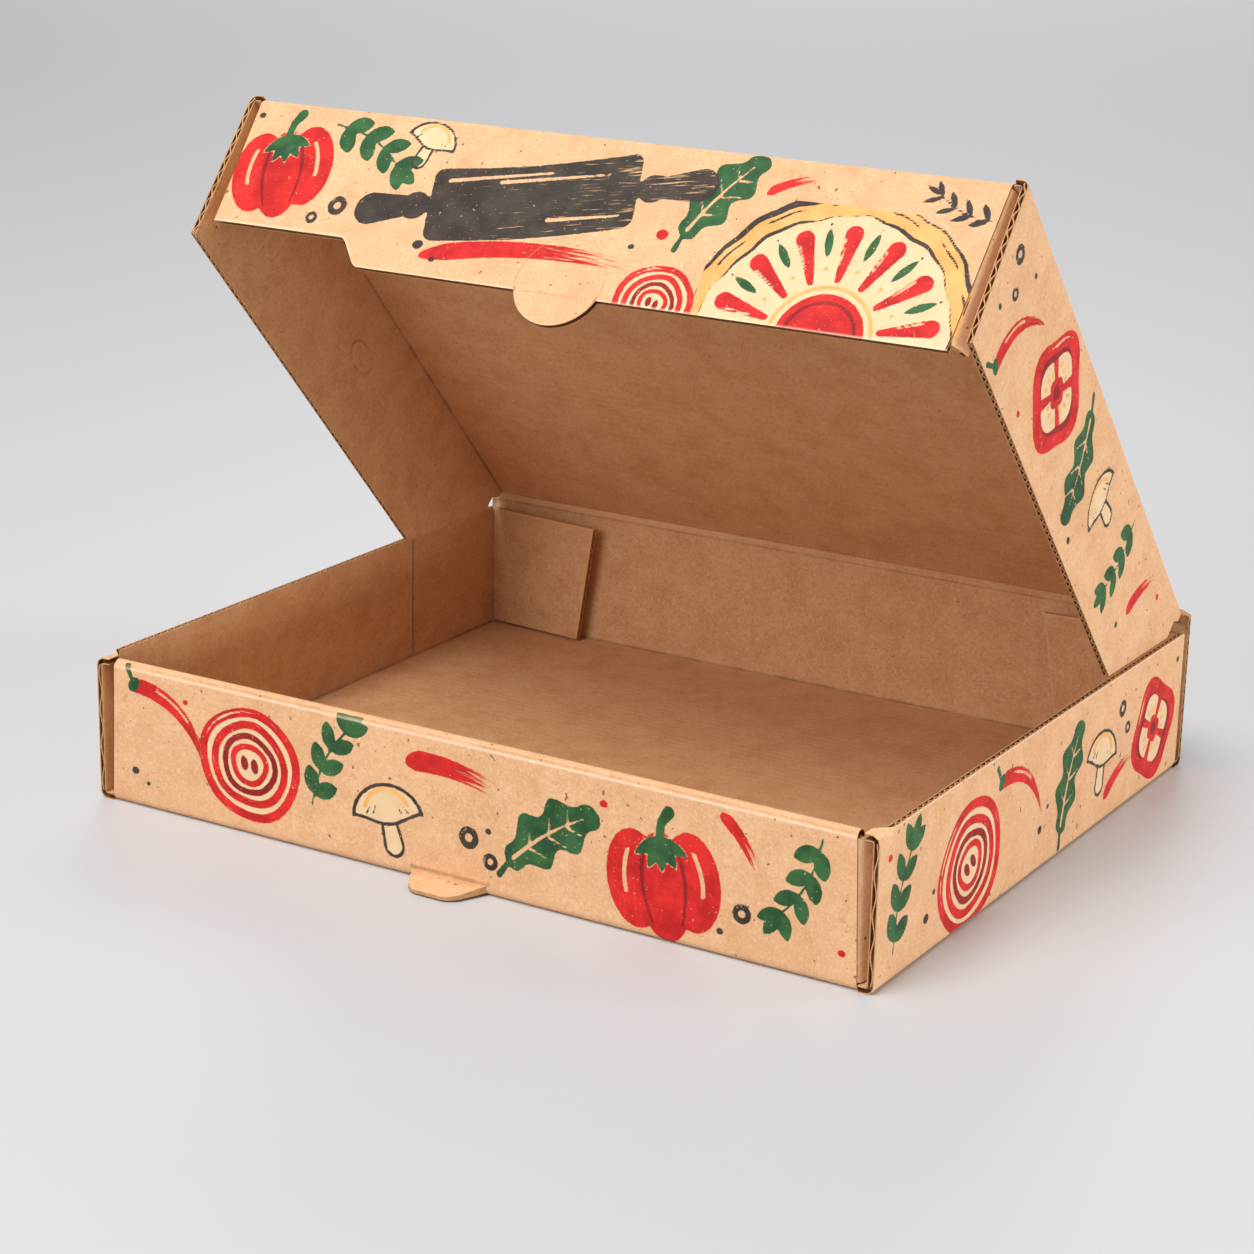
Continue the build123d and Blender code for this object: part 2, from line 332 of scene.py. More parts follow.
def band(value, middle, half):
    """Distance to a band that reaches half to each side of a middle value."""
    return np.abs(value - middle) - half


def corner(a, b):
    """Distance to a corner from two distances, either of which may have passed it."""
    return np.hypot(np.clip(a, 0, None), np.clip(b, 0, None))


def disc(p, q, radius):
    """Distance from the centre less the radius."""
    return np.hypot(p, q) - radius


def oval(p, q, a, b):
    """An ellipse's level less one, times its smaller half axis."""
    return (np.hypot(p / a, q / b) - 1) * min(a, b)


def lens(p, q, half_length, half_width):
    """The overlap of two circles, pointed at both ends, as a small leaf."""
    radius = (half_length ** 2 + half_width ** 2) / (2 * half_width)
    off = radius - half_width
    return np.maximum(np.hypot(p, q + off), np.hypot(p, q - off)) - radius


def rod(p, q, start, end, radius, end_radius=None):
    """A straight line from start to end with a radius that changes evenly along it."""
    (a, b), (c, d) = start, end
    span = (c - a) ** 2 + (d - b) ** 2
    t = np.clip(((p - a) * (c - a) + (q - b) * (d - b)) / span, 0, 1)
    change = (radius if end_radius is None else end_radius) - radius
    return np.hypot(p - a - t * (c - a), q - b - t * (d - b)) - radius - t * change


def blank_panel(count):
    """Inks far away everywhere, and brush coordinates at nought."""
    canvas = {name: np.full(count, FAR) for name in INKS}
    canvas.update({name: np.zeros(count) for name in BRUSH}, near=np.full(count, np.inf))
    return canvas


def ink(canvas, name, distance):
    """Adds a shape in one ink. Motifs are drawn one unit large, so its distance gets its size here."""
    canvas[name] = np.minimum(canvas[name], distance * canvas["size"])


def bare(canvas, distance, names=INKS):
    """Cuts a shape out of the named inks."""
    for name in names:
        canvas[name] = np.maximum(canvas[name], -distance * canvas["size"])


def brushed(canvas, distance, across, along, dry):
    """The brush's own coordinates round a shape, kept where it is the nearest so far."""
    size = canvas["size"]
    nearer = distance * size < canvas["near"]
    for name, value in zip(("near", *BRUSH), (distance * size, across * size, along * size, dry)):
        canvas[name] = np.where(nearer, value, canvas[name])


print("inks", INKS, "and a brush's", BRUSH)

# %% [markdown]
# Each motif is one short function of its own coordinates, drawn with a length or a radius of one and
# given its size afterwards. They are kitchen things in the loose brush manner of such boxes: sliced
# onion, ring of sweet pepper, whole pepper, chilli, mushroom, salad leaf, herb sprig, rolling pin,
# olives, a sunrise fan, and plain strokes and dots.

# %% Motifs
CAP_LINE = 0.25      # millimetres of bare paper round the pepper's green cap


def polar(p, q):
    """Angle and distance from the centre."""
    return np.arctan2(q, p), np.hypot(p, q)


def glint(level, angle, middle, half, fade, at):
    """A crescent on a ring: a band that is widest at one angle and thins out round the ring."""
    return band(level, middle, half - fade * np.abs(np.sin((angle - at) / 2)))


def arched(p, rise):
    """The share of the way along a motif, and a parabola over it."""
    t = np.clip(p + 0.5, 0, 1)
    return t, rise * (1 - (2 * t - 1) ** 2)


def onion_slice(c, p, q):
    """Rings at set shares of a slightly uneven radius, with two small hearts in the middle."""
    angle, r = polar(p, q)
    level = r / (1 + 0.03 * np.cos(2 * angle + 0.6) + 0.012 * np.cos(5 * angle))
    for middle, half, name in ((0.92, 0.08, "red"), (0.69, 0.07, "red"), (0.495, 0.055, "deep"),
                               (0.325, 0.055, "red")):
        wave = 0.012 * np.cos(3 * angle + 9 * (middle - half))
        ink(c, name, band(level + wave, middle, half))
    ink(c, "cream", level - 0.97)
    for side in (-1, 1):
        ink(c, "deep", oval(p - side * 0.10, q + side * 0.03, 0.075, 0.13))
    bare(c, glint(level, angle, 0.92, 0.02, 0.05, 2.0), ("red",))
    brushed(c, level - 1, level, angle, 0.55)


def pepper_ring(c, p, q):
    """A thick wall with four lobes, ribs to a seeded core and open chambers."""
    angle, r = polar(p, q)
    level = r / (1 + 0.085 * np.cos(4 * angle) + 0.02 * np.cos(3 * angle + 1))
    ink(c, "cream", level - 0.9)
    ink(c, "red", band(level, 0.82, 0.17))
    ink(c, "deep", band(level, 0.68, 0.03 * (1.2 + np.cos(2 * angle + 1))))
    for k in range(4):
        a, b = turned_about(p, q, (0, 0), 45 + 90 * k)
        ink(c, "red", rod(a, b, (0.2, 0), (0.72, 0.04), 0.06, 0.11))
        for step in (-1, 0, 1):
            a, b = turned_about(p, q, (0, 0), 90 * k + 22 * step)
            ink(c, "gold", oval(a - 0.42 - 0.05 * step, b, 0.07, 0.045))
    ink(c, "red", r - 0.26 - 0.03 * np.cos(4 * angle))
    ink(c, "deep", r - 0.13)
    bare(c, glint(level, angle, 0.88, 0.03, 0.1, 2.2))
    brushed(c, level - 1, level, angle, 0.55)


def whole_pepper(c, p, q):
    """Three lobes, deep grooves between them, a cap and a bent stalk."""
    body = oval(p, q + 0.03, 0.23, 0.42)
    for side in (-1, 1):
        body = np.minimum(body, oval(p - side * 0.24, q - 0.02, 0.24, 0.38))
    ink(c, "red", body)
    for side in (-1, 1):
        groove = band(p, side * (0.06 + 0.12 * np.cos(3.2 * q)), 0.016 * (1 + q))
        ink(c, "deep", np.maximum(groove, band(q, -0.02, 0.3)))
        shine = band(p, side * (0.33 - 0.9 * q ** 2), 0.018)
        bare(c, np.maximum(shine, band(q, 0.08, 0.17)))
    for turn in (-62, -28, 0, 30, 64):
        a, b = turned_about(p, q, (0, 0.33), turn - 90)
        ink(c, "green", lens(a - 0.1, b, 0.15, 0.05))
    ink(c, "green", rod(p, q, (0, 0.34), (0.03, 0.46), 0.035))
    ink(c, "green", rod(p, q, (0.03, 0.46), (0.1, 0.54), 0.035, 0.05))
    bare(c, (np.abs(c["green"]) - CAP_LINE) / c["size"], ("red", "deep"))
    brushed(c, body, p, q, 0.4)


def chilli(c, p, q):
    """A stroke that bends and thins to a point, with a cap and a stalk at the thick end."""
    t, middle = arched(p, 0.18)
    half = 0.085 * np.sqrt(1 - t) * np.clip(t * 12 + 0.25, 0, 1)
    body = np.maximum(band(q, middle, half), band(p, 0, 0.5))
    ink(c, "red", body)
    bare(c, np.maximum(band(q, middle + 0.35 * half, 0.012), band(p, -0.08, 0.2)))
    ink(c, "green", oval(p + 0.47, q - 0.02, 0.05, 0.075))
    ink(c, "green", rod(p, q, (-0.48, 0.02), (-0.62, 0.10), 0.018, 0.026))
    brushed(c, body, q - middle, p, 0.3 + 0.7 * t)


def mushroom(c, p, q):
    """A cap and a stem cut through the middle, in cream with a charcoal line and gills."""
    line = 0.022
    cap = np.maximum(oval(p, q + 0.02, 0.5, 0.42), -q - 0.02 - 0.06 * np.cos(6 * p))
    stem = rod(p, q, (0, 0), (0.02, -0.34), 0.10, 0.13)
    whole = np.minimum(cap, stem)
    ink(c, "cream", whole)
    ink(c, "charcoal", band(np.minimum(cap, np.maximum(stem, -cap)), 0, line))
    for x in (-0.3, -0.2, 0.2, 0.3):
        ink(c, "charcoal", rod(p, q, (x, 0.06), (0.75 * x, 0.16), 0.7 * line, 0.2 * line))
    ink(c, "gold", np.maximum(band(np.hypot(p, q - 0.02), 0.33, 0.03), 0.12 - q))
    brushed(c, whole, q, p, 0.4)


def salad_leaf(c, p, q):
    """A long leaf whose half width swings with three lobes, with bare veins and a stalk."""
    t = np.clip(p + 0.5, 0, 1)
    half = 0.31 * np.sqrt(t * (1 - t)) * (1.3 + 0.34 * np.cos(t * 6 * np.pi))
    curve = q - 0.05 * np.sin(t * np.pi)
    body = np.maximum(0.8 * band(curve, 0, half), band(p, 0, 0.5))
    ink(c, "green", body)
    ink(c, "green", rod(p, q, (-0.49, 0), (-0.62, -0.05), 0.02, 0.03))
    bare(c, np.maximum(band(curve, 0, 0.016 * (1.2 - t)), band(p, -0.04, 0.4)), ("green",))
    for x in (-0.24, -0.02, 0.18):
        for side in (-1, 1):
            bare(c, rod(p, q, (x, 0.02), (x + 0.11, side * 0.15 + 0.03), 0.012, 0.004), ("green",))
    brushed(c, body, curve, p, 0.45)


def sprig(c, p, q, name="green", slim=0.068):
    """A thin bent stem with pairs of small pointed leaves and one at the tip."""
    leaves = [np.maximum(band(q, 0.1 * np.cos(3 * p), 0.012), band(p, 0, 0.5))]
    for x in (-0.375, -0.125, 0.125, 0.375):
        for side in (-1, 1):
            a, b = turned_about(p, q, (x, 0.1 * math.cos(3 * x)), side * 40)
            leaves.append(lens(a - 0.14, b, 0.145, slim * (1.15 - 0.3 * x)))
    a, b = turned_about(p, q, (0.46, 0.03), -8)
    leaves.append(lens(a - 0.1, b, 0.13, slim))
    shape = np.minimum.reduce(leaves)
    ink(c, name, shape)
    brushed(c, shape, q, p, 0.35)


def olive_ring(c, p, q):
    """A ring in charcoal with a bare glint."""
    angle, r = polar(p, q)
    ring = band(r, 0.68, 0.30)
    ink(c, "charcoal", ring)
    bare(c, glint(r, angle, 0.74, 0.05, 0.2, 2.3), ("charcoal",))
    brushed(c, ring, r, angle, 0.3)


def dot(c, p, q, name="charcoal"):
    """A spot, a little longer than it is wide."""
    spot = oval(p, q, 1, 0.85)
    ink(c, name, spot)
    brushed(c, spot, q, p, 0.1)


def swash(c, p, q, half=0.11, bend=0.06):
    """One pull of a wide brush: a bent band that starts round and ends in dry streaks."""
    t, middle = arched(p, bend)
    width = half * np.clip(np.sqrt(6 * t) + 0.1, 0, 1) * (1 - 0.35 * t)
    stroke = np.maximum(band(q, middle, width), band(p, 0, 0.5))
    ink(c, "red", stroke)
    brushed(c, stroke, q - middle, p, 0.35 + 1.2 * t ** 2)


def rolling_pin(c, p, q):
    """A thick bar with rounded ends, necks and turned handles, and bare glints along it."""
    rounding = 0.03
    over_p = band(p, 0, 0.31 - rounding)
    over_q = band(q, -0.015 * np.cos(5 * p), 0.112 - rounding)
    parts = [corner(over_p, over_q) + np.clip(np.maximum(over_p, over_q), None, 0) - rounding]
    for start, end, low, high in ((0.30, 0.37, 0.026, 0.022), (0.352, 0.356, 0.042, 0.042),
                                  (0.40, 0.49, 0.036, 0.050)):
        parts.append(rod(np.abs(p), q, (start, 0), (end, 0), low, high))
    shape = np.minimum.reduce(parts)
    ink(c, "charcoal", shape)
    for y, start, end in ((0.070, -0.26, 0.05), (0.052, -0.10, 0.22), (-0.075, 0.06, 0.27)):
        bare(c, rod(p, q, (start, y), (end, y), 0.006, 0.003), ("charcoal",))
    brushed(c, shape, q, p, 0.45 + 0.5 * np.clip(p + 0.3, 0, 1))


def sunrise(c, p, q):
    """A half disc: charcoal and gold rim, cream field, red and gold rays, leaves and dots."""
    angle, r = polar(p, q)
    rim = r + 0.010 * np.cos(9 * angle + 2) + 0.006 * np.cos(23 * angle)
    ink(c, "cream", rim - 0.85)
    ink(c, "gold", band(rim, 0.91, 0.07))
    for middle, half in ((0.985, 0.016 * (1 + 0.5 * np.cos(3 * angle))),
                         (0.845, 0.009 * (1 + 0.6 * np.cos(5 * angle + 1))),
                         (0.93, 0.008 - 0.02 * np.clip(np.sin(14 * angle), 0, 1))):
        ink(c, "charcoal", band(rim, middle, half))
    rays = 7
    for k in range(rays):
        a, b = turned_about(p, q, (0, 0), 180 * (k + 0.5) / rays)
        ink(c, "red", rod(a, b, (0.40, 0), (0.72, 0), 0.022, 0.062))
        bare(c, rod(a, b, (0.50, 0.02), (0.68, 0.04), 0.004, 0.007), ("red",))
        a, b = turned_about(p, q, (0, 0), 180 * k / rays)
        ink(c, "green", lens(a - 0.66, b, 0.11, 0.028))
        ink(c, "gold", disc(a - 0.48, b, 0.016))
        ink(c, "charcoal", disc(a - 0.79, b, 0.010))
    ink(c, "red", r - 0.30)
    ink(c, "deep", band(r, 0.24, 0.012))
    ink(c, "gold", band(r, 0.345, 0.014))
    brushed(c, r - 1, rim, angle, 0.5)


# %% [markdown]
# The panels are laid out as a print designer would: each row names a motif, its place on
# the panel, its turn and its size. A shape may run off the panel's edge, as print on a die-cut
# sheet does.

# %% Layout of the printed panels
MOTIF_REACH = 0.75   # how far a motif of size one may go from its centre along either axis

FRONT_PRINT = [
    (chilli, -128, 34, -38, 44), (dot, -144, 14, 0, 1.7), (dot, -138, 10, 0, 1.0, "green"),
    (onion_slice, -91, 27, 10, 22), (dot, -120, 45, 0, 1.2, "red"), (sprig, -54, 34, 62, 38),
    (mushroom, -30, 20, 12, 30), (swash, -4, 41, -6, 38), (olive_ring, 4, 20, 0, 4.2),
    (olive_ring, 13, 13, 40, 3.2), (dot, 12, 24, 20, 1.3), (salad_leaf, 38, 27, 35, 44),
    (dot, 58, 44, 0, 1.6, "red"), (whole_pepper, 82, 21, 8, 46), (swash, 110, 42, -50, 22),
    (olive_ring, 112, 17, 0, 3.6), (dot, 104, 9, 0, 1.4), (sprig, 132, 34, -118, 36),
    (dot, 149, 12, 0, 1.5, "red")]
RIGHT_PRINT = [
    (sprig, -112, 28, 70, 40), (dot, -124, 45, 0, 1.5, "red"), (dot, -95, 14, 0, 2.0),
    (dot, -90, 22, 0, 1.2), (onion_slice, -62, 22, 40, 24), (chilli, -22, 34, -30, 42),
    (dot, -4, 16, 0, 1.8), (dot, 2, 23, 0, 1.1), (salad_leaf, 22, 28, 68, 42), (mushroom, 50, 26, -10, 28),
    (olive_ring, 68, 41, 0, 3.4), (olive_ring, 74, 32, 0, 2.6), (swash, 66, 15, 24, 26),
    (pepper_ring, 100, 24, 15, 20), (dot, 121, 46, 0, 1.4, "green")]
LEFT_PRINT = [
    (whole_pepper, -98, 24, -8, 46), (dot, -120, 40, 0, 1.6), (swash, -66, 36, -20, 30),
    (sprig, -46, 24, 50, 36), (olive_ring, -22, 38, 0, 3.8), (olive_ring, -14, 30, 0, 2.8),
    (pepper_ring, 10, 24, 30, 21), (dot, 36, 44, 0, 1.5, "red"), (salad_leaf, 48, 26, -40, 42),
    (mushroom, 78, 24, 8, 28), (chilli, 108, 32, -140, 38), (dot, 118, 12, 0, 1.8)]
FLAP_PRINT = [
    (whole_pepper, -130, -30, 14, 44), (dot, -149, -8, 0, 1.5), (sprig, -97, -17, -25, 40),
    (olive_ring, -100, -41, 0, 4.0), (olive_ring, -109, -47, 0, 2.6), (dot, -88, -42, 0, 1.3, "red"),
    (rolling_pin, -22, -28, 11, 132), (swash, -16, -53, 4, 84, 0.045, 0.05), (dot, -60, -52, 0, 2.2),
    (dot, -52, -57, 0, 1.2), (mushroom, -72, -12, -16, 22), (dot, 24, -42, 0, 1.3),
    (dot, 34, -36, 0, 2.4, "red"), (salad_leaf, 52, -19, 58, 40), (sunrise, 104, -66, 0, 54),
    (swash, 75, -12, 25, 18), (onion_slice, 40, -62, 0, 15), (sprig, 140, -12, 160, 26, "charcoal", 0.035)]
LID_RIGHT_PRINT = [
    (olive_ring, -240, -18, 0, 3.6), (olive_ring, -232, -28, 0, 2.6), (dot, -238, -38, 0, 1.3, "green"),
    (dot, -224, -14, 0, 1.2), (chilli, -214, -36, 60, 40), (pepper_ring, -176, -26, 10, 21),
    (dot, -196, -50, 0, 1.4, "red"), (salad_leaf, -138, -30, -70, 42), (mushroom, -108, -24, 90, 26),
    (dot, -122, -50, 0, 1.6), (sprig, -78, -26, -95, 36), (swash, -46, -22, 65, 26),
    (dot, -56, -42, 0, 1.4, "green"), (dot, -30, -12, 0, 1.5, "red")]
LID_LEFT_PRINT = [
    (swash, 34, -20, -60, 24), (dot, 52, -40, 0, 1.6), (sprig, 70, -28, 80, 38),
    (onion_slice, 106, -27, 0, 21), (olive_ring, 134, -16, 0, 3.4), (dot, 140, -30, 0, 1.4, "green"),
    (salad_leaf, 160, -30, 55, 42), (chilli, 196, -30, 35, 40), (dot, 216, -14, 0, 1.5, "red"),
    (mushroom, 232, -32, -80, 26)]


def printed(layout, p, q):
    """All motifs of a layout on panel coordinates p across and q up."""
    canvas = blank_panel(p.shape)
    for motif, across, up, degrees, size, *rest in layout:
        a, b = (way / size for way in turned_about(p, q, (across, up), degrees))
        close = np.maximum(np.abs(a), np.abs(b)) < MOTIF_REACH + FAR / size
        if close.any():
            part = {name: values[close] for name, values in canvas.items()}
            part["size"] = size
            motif(part, a[close], b[close], *rest)
            for name, values in canvas.items():
                values[close] = part[name]
    return canvas


def packed(canvases, picks, total):
    """The canvases put back in their places of the whole point list, as three vector attributes."""
    whole = blank_panel(total)
    for canvas, pick in zip(canvases, picks):
        for name, values in canvas.items():
            whole[name][pick] = values
    return {label: np.stack([whole[name] for name in names], -1) for label, names in GROUPS.items()}


print(len(FRONT_PRINT), "motifs on the front wall and", len(FLAP_PRINT), "on the lid's flap")

# %% [markdown]
# A material is a small tree of nodes. One helper adds a node with its properties, values and links
# in one call. Colours are written as sRGB hex, as they would be picked from a swatch, and turned
# to linear light. A noise lies round a half, so the two limits of the ramp that follows it say how
# much of the surface it marks, and how softly.

# %% One helper for nodes, one for colours
MIX_A, MIX_B, MIX_OUT = 6, 7, 2      # sockets of the Mix node in its colour mode


def add(tree, kind, inputs=(), **settings):
    """A new node; inputs maps sockets to values or to the sockets that feed them."""
    node = tree.nodes.new("ShaderNode" + kind)
    for name, value in settings.items():
        setattr(node, name, value)
    for socket, value in dict(inputs).items():
        if isinstance(value, bpy.types.NodeSocket):
            tree.links.new(value, node.inputs[socket])
        else:
            node.inputs[socket].default_value = value
    return node


def linear(code):
    """Linear light of a hex colour, each channel by the sRGB curve."""
    srgb = np.array([int(code[i:i + 2], 16) for i in (0, 2, 4)]) / 255
    return (*np.where(srgb > 0.04045, ((srgb + 0.055) / 1.055) ** 2.4, srgb / 12.92).tolist(), 1.0)


def per_metre(millimetres):
    """Scale of a texture on Object coordinates for a pattern of this size."""
    return 1 / (millimetres * MM)


def calc(tree, operation, a, b=0.0, c=0.0):
    """Output of one Math node."""
    return add(tree, "Math", {0: a, 1: b, 2: c}, operation=operation).outputs[0]


def ramped(tree, value, start, end, low=0.0, high=1.0):
    """The value mapped from start-end to low-high and kept between them."""
    return add(tree, "MapRange", {0: value, 1: start, 2: end, 3: low, 4: high}).outputs[0]


def mixed(tree, factor, a, b):
    """Colour a passing to colour b with the factor."""
    return add(tree, "Mix", {0: factor, MIX_A: a, MIX_B: b}, data_type="RGBA").outputs[MIX_OUT]


def noise(tree, vector, size, detail=3.0, roughness=0.5, stretch=None):
    """Noise on Object coordinates with features of the given size in millimetres."""
    if stretch:
        vector = add(tree, "VectorMath", {0: vector, 1: stretch}, operation="MULTIPLY").outputs[0]
    inputs = {"Vector": vector, "Scale": per_metre(size), "Detail": detail, "Roughness": roughness}
    return add(tree, "TexNoise", inputs).outputs[0]


print("kraft in linear light", np.round(linear("DFB084"), 3))

# %% [markdown]
# Kraft liner is unbleached pine pulp. The eye sees three things in it: soft clouds where the pulp
# lies thicker, a fine grain a millimetre or two long from the fibre bundles, and single dark
# specks. Fibres are a twentieth of a millimetre thick; they are drawn over ten times coarser here,
# or the camera would not see them at all. The flutes below show through as faint ribs, four
# millimetres apart, and every sheet is matt: IOR 1.3, as it is half air, with a roughness near 0.8.

# %% Kraft paper
CLOUD_SIZE, GRAIN_SIZE, FIBRE_SIZE, SPECK_SIZE, CRUSH_SIZE = 14, 1.1, 0.7, 1.0, 22   # millimetres
RIB_HEIGHT = 0.016   # millimetres the liner sinks between two flute tips
GRAIN_HEIGHT = 0.035
PAPER_IOR = 1.3      # cellulose is 1.5, but half of an uncoated surface is air
CRUSH_HEIGHT = 0.09  # slow unevenness of a handled panel
# Dark lines (creases, mostly painted shade), light lines (rubbed wear and painted highlight) and scores:
# millimetres where a line ends, where it is full, and how strong
MARK_WIDTHS = ((1.1, 0.1, 0.62), (1.1, 0.3, 0.55), (0.6, 0.15, 0.5))
# tones of the dark line, the light line and the score on the inner and outer liner; the dark and light ones
# are mostly painted shade and painted highlight
INSIDE_MARK_AND_PAINTED_LIGHT_TONES, OUTSIDE_MARK_AND_PAINTED_LIGHT_TONES = ("4E2C12", "E3B387", "6B4220"), ("7A4A28", "FBE6CC", "B37F52")


def hairlines(tree, place, colour, size, width, strength, tone):
    """Thin wandering lines where a slow noise passes its middle, broken up by a second noise."""
    ridge = calc(tree, "ABSOLUTE", calc(tree, "SUBTRACT", noise(tree, place, size, 3, 0.6), 0.5))
    broken = ramped(tree, noise(tree, place, 0.9 * size, 2, 0.5), 0.52, 0.62)
    share = calc(tree, "MULTIPLY", ramped(tree, ridge, width, 0.0), broken)
    return mixed(tree, calc(tree, "MULTIPLY", share, strength), colour, tone)


def kraft_paper(name, colours, roughness):
    """A paper's material, tree, shader, colour socket, Object coordinates and board coordinates.

    colours are the sheet's mean, its clouds, its light grain and its specks."""
    base, cloud, light, speck = (linear(code) for code in colours)
    material = bpy.data.materials.new(name)
    material.use_nodes = True
    tree = material.node_tree
    shader = tree.nodes["Principled BSDF"]
    shader.inputs["Roughness"].default_value = roughness
    shader.inputs["IOR"].default_value = PAPER_IOR
    place = add(tree, "TexCoord").outputs["Object"]
    board = add(tree, "Attribute", attribute_name="board").outputs["Vector"]
    clouds = ramped(tree, noise(tree, place, CLOUD_SIZE, 4, 0.6), 0.42, 0.68, 0.0, 0.8)
    grain = noise(tree, place, GRAIN_SIZE, 3, 0.7)
    colour = mixed(tree, clouds, base, cloud)
    colour = mixed(tree, ramped(tree, grain, 0.48, 0.72, 0.0, 0.5), colour, light)
    for turn, tone, strength in ((0.5, light, 0.5), (-0.7, cloud, 0.6), (1.3, cloud, 0.5)):
        turned = add(tree, "Mapping", {0: place, "Rotation": (turn, turn, turn)}).outputs[0]
        fibres = noise(tree, turned, FIBRE_SIZE, 1, 0.5, (1.0, 1.0, 0.22))
        colour = mixed(tree, ramped(tree, fibres, 0.60, 0.70, 0.0, strength), colour, tone)
    for size, strength, tone in ((4.4, 0.55, light), (3.7, 0.6, cloud), (5.3, 0.16, speck)):
        colour = hairlines(tree, place, colour, size, 0.030, strength, tone)
    specks = ramped(tree, noise(tree, place, SPECK_SIZE, 1, 0.5), 0.72, 0.76, 0.0, 0.55)
    colour = mixed(tree, specks, colour, speck)
    return material, tree, shader, colour, place, board, grain


def marked_with_painted_light(tree, place, colour, tones):
    """The paper with dark lines of painted shade at creases, light lines of rubbed wear and painted
    highlight, and faint scores drawn over it.

    The attribute "marks" holds FAR less the distance to the nearest line of each kind."""
    lines = add(tree, "Attribute", attribute_name="marks").outputs["Vector"]
    lines = add(tree, "SeparateXYZ", {0: lines}).outputs
    uneven = ramped(tree, noise(tree, place, CLOUD_SIZE, 3, 0.6), 0.36, 0.58, 0.55, 1.0)
    for line, code, (wide, full, strength) in zip(lines, tones, MARK_WIDTHS):
        share = ramped(tree, line, FAR - wide, FAR - full, 0.0, strength)
        colour = mixed(tree, calc(tree, "MULTIPLY", share, uneven), colour, linear(code))
    return colour


def relief(tree, shader, place, board, grain):
    """Ribs over the flutes, grain and slow unevenness as bumps in millimetres."""
    across = add(tree, "SeparateXYZ", {0: board}).outputs[0]
    ribs = calc(tree, "SINE", calc(tree, "MULTIPLY", across, 2 * math.pi / FLUTE))
    height = calc(tree, "MULTIPLY", ribs, RIB_HEIGHT)
    height = calc(tree, "MULTIPLY_ADD", grain, GRAIN_HEIGHT, height)
    height = calc(tree, "MULTIPLY_ADD", noise(tree, place, CRUSH_SIZE, 3, 0.55), CRUSH_HEIGHT, height)
    bump = add(tree, "Bump", {"Height": height, "Distance": MM, "Strength": 1.0})
    tree.links.new(bump.outputs[0], shader.inputs["Normal"])


def plain_paper(name, colours, roughness):
    """A kraft paper with no print."""
    material, tree, shader, colour, place, board, grain = kraft_paper(name, colours, roughness)
    scratches = noise(tree, board, 1.6, 2, 0.5, (1.0, 0.02, 0.0))
    scratches = ramped(tree, scratches, 0.70, 0.74, 0.0, 0.22)
    colour = mixed(tree, scratches, colour, linear(colours[2]))
    tree.links.new(marked_with_painted_light(tree, place, colour, INSIDE_MARK_AND_PAINTED_LIGHT_TONES), shader.inputs["Base Color"])
    relief(tree, shader, place, board, grain)
    return material


# The inner liner is test liner, made from waste paper: darker, flatter and full of specks.
kraft_inside = plain_paper("test_liner_inside", ("D4A577", "C4905F", "E6BB92", "6E4522"), 0.85)
# The cut leaves short torn fibres, so the edge scatters light and looks paler and duller.
paper_cut = plain_paper("die_cut_paper_edge", ("C49465", "B38153", "D9AF82", "7C5230"), 0.9)
# The medium is the cheapest paper in the board, thin and dark.
fluting = plain_paper("corrugating_medium", ("8A5A33", "774B28", "A06C3F", "4A2C14"), 0.9)

# %% [markdown]
# The print is water-based ink put on by rubber plates. It soaks in, so its edge is a little ragged,
# and where the drawing imitates a dry brush the paper shows through in streaks. The distances from
# the mesh get a small wobble before they are cut at nought, and streaks follow each motif's own
# brush coordinates, fine across the stroke and long along it. The inks lie over one another in the
# order of the table, and printed board is a little less matt than bare board.

# %% Printed outer liner
INK_COLOURS = {      # each ink where it lies thick, and where it lies thin; later ones go on top
    "cream": ("E8C99E", "E4C194"), "gold": ("E8A35A", "F0B570"), "red": ("B81B1A", "DC2A26"),
    "deep": ("861618", "982220"), "green": ("234A2A", "386639"), "charcoal": ("352D27", "463D34")}
WOBBLE, WOBBLE_SIZE = 0.7, 2.2
SOFT = 0.12          # half the millimetres from full ink to none
BARE_ROUGHNESS, INK_ROUGHNESS = 0.8, 0.6
SPOT_SIZE, PINHOLE_SIZE, PATCH_SIZE = 2.1, 0.9, 9    # of dark spots, gaps and thin patches of ink
DRIEST = 1.5         # a brush this dry leaves streaks only
STREAK_ACROSS, STREAK_ALONG = 0.75, 15.0

kraft_outside, tree, shader, colour, place, board, grain = kraft_paper(
    "kraft_liner_flexo_printed", ("E2B286", "D6A073", "F0C79E", "9C6238"), BARE_ROUGHNESS)
colour = hairlines(tree, place, colour, 21, 0.007, 0.28, linear("F8DCBC"))
colour = hairlines(tree, place, colour, 27, 0.004, 0.3, linear("9C6237"))
spots = ramped(tree, noise(tree, place, SPOT_SIZE, 0, 0.5), 0.812, 0.826, 0.0, 0.75)
colour = mixed(tree, spots, colour, linear("5A3A22"))
channels = {}
for label, names in GROUPS.items():
    vector = add(tree, "Attribute", attribute_name=label).outputs["Vector"]
    channels.update(zip(names, add(tree, "SeparateXYZ", {0: vector}).outputs))
wobble = calc(tree, "MULTIPLY_ADD", noise(tree, place, WOBBLE_SIZE, 3, 0.6), WOBBLE, -WOBBLE / 2)
stroke = add(tree, "CombineXYZ", {0: calc(tree, "DIVIDE", channels["across"], STREAK_ACROSS),
                                  1: calc(tree, "DIVIDE", channels["along"], STREAK_ALONG)}).outputs[0]
streaks = add(tree, "TexNoise", {"Vector": stroke, "Scale": 1.0, "Detail": 3.0, "Roughness": 0.6}).outputs[0]
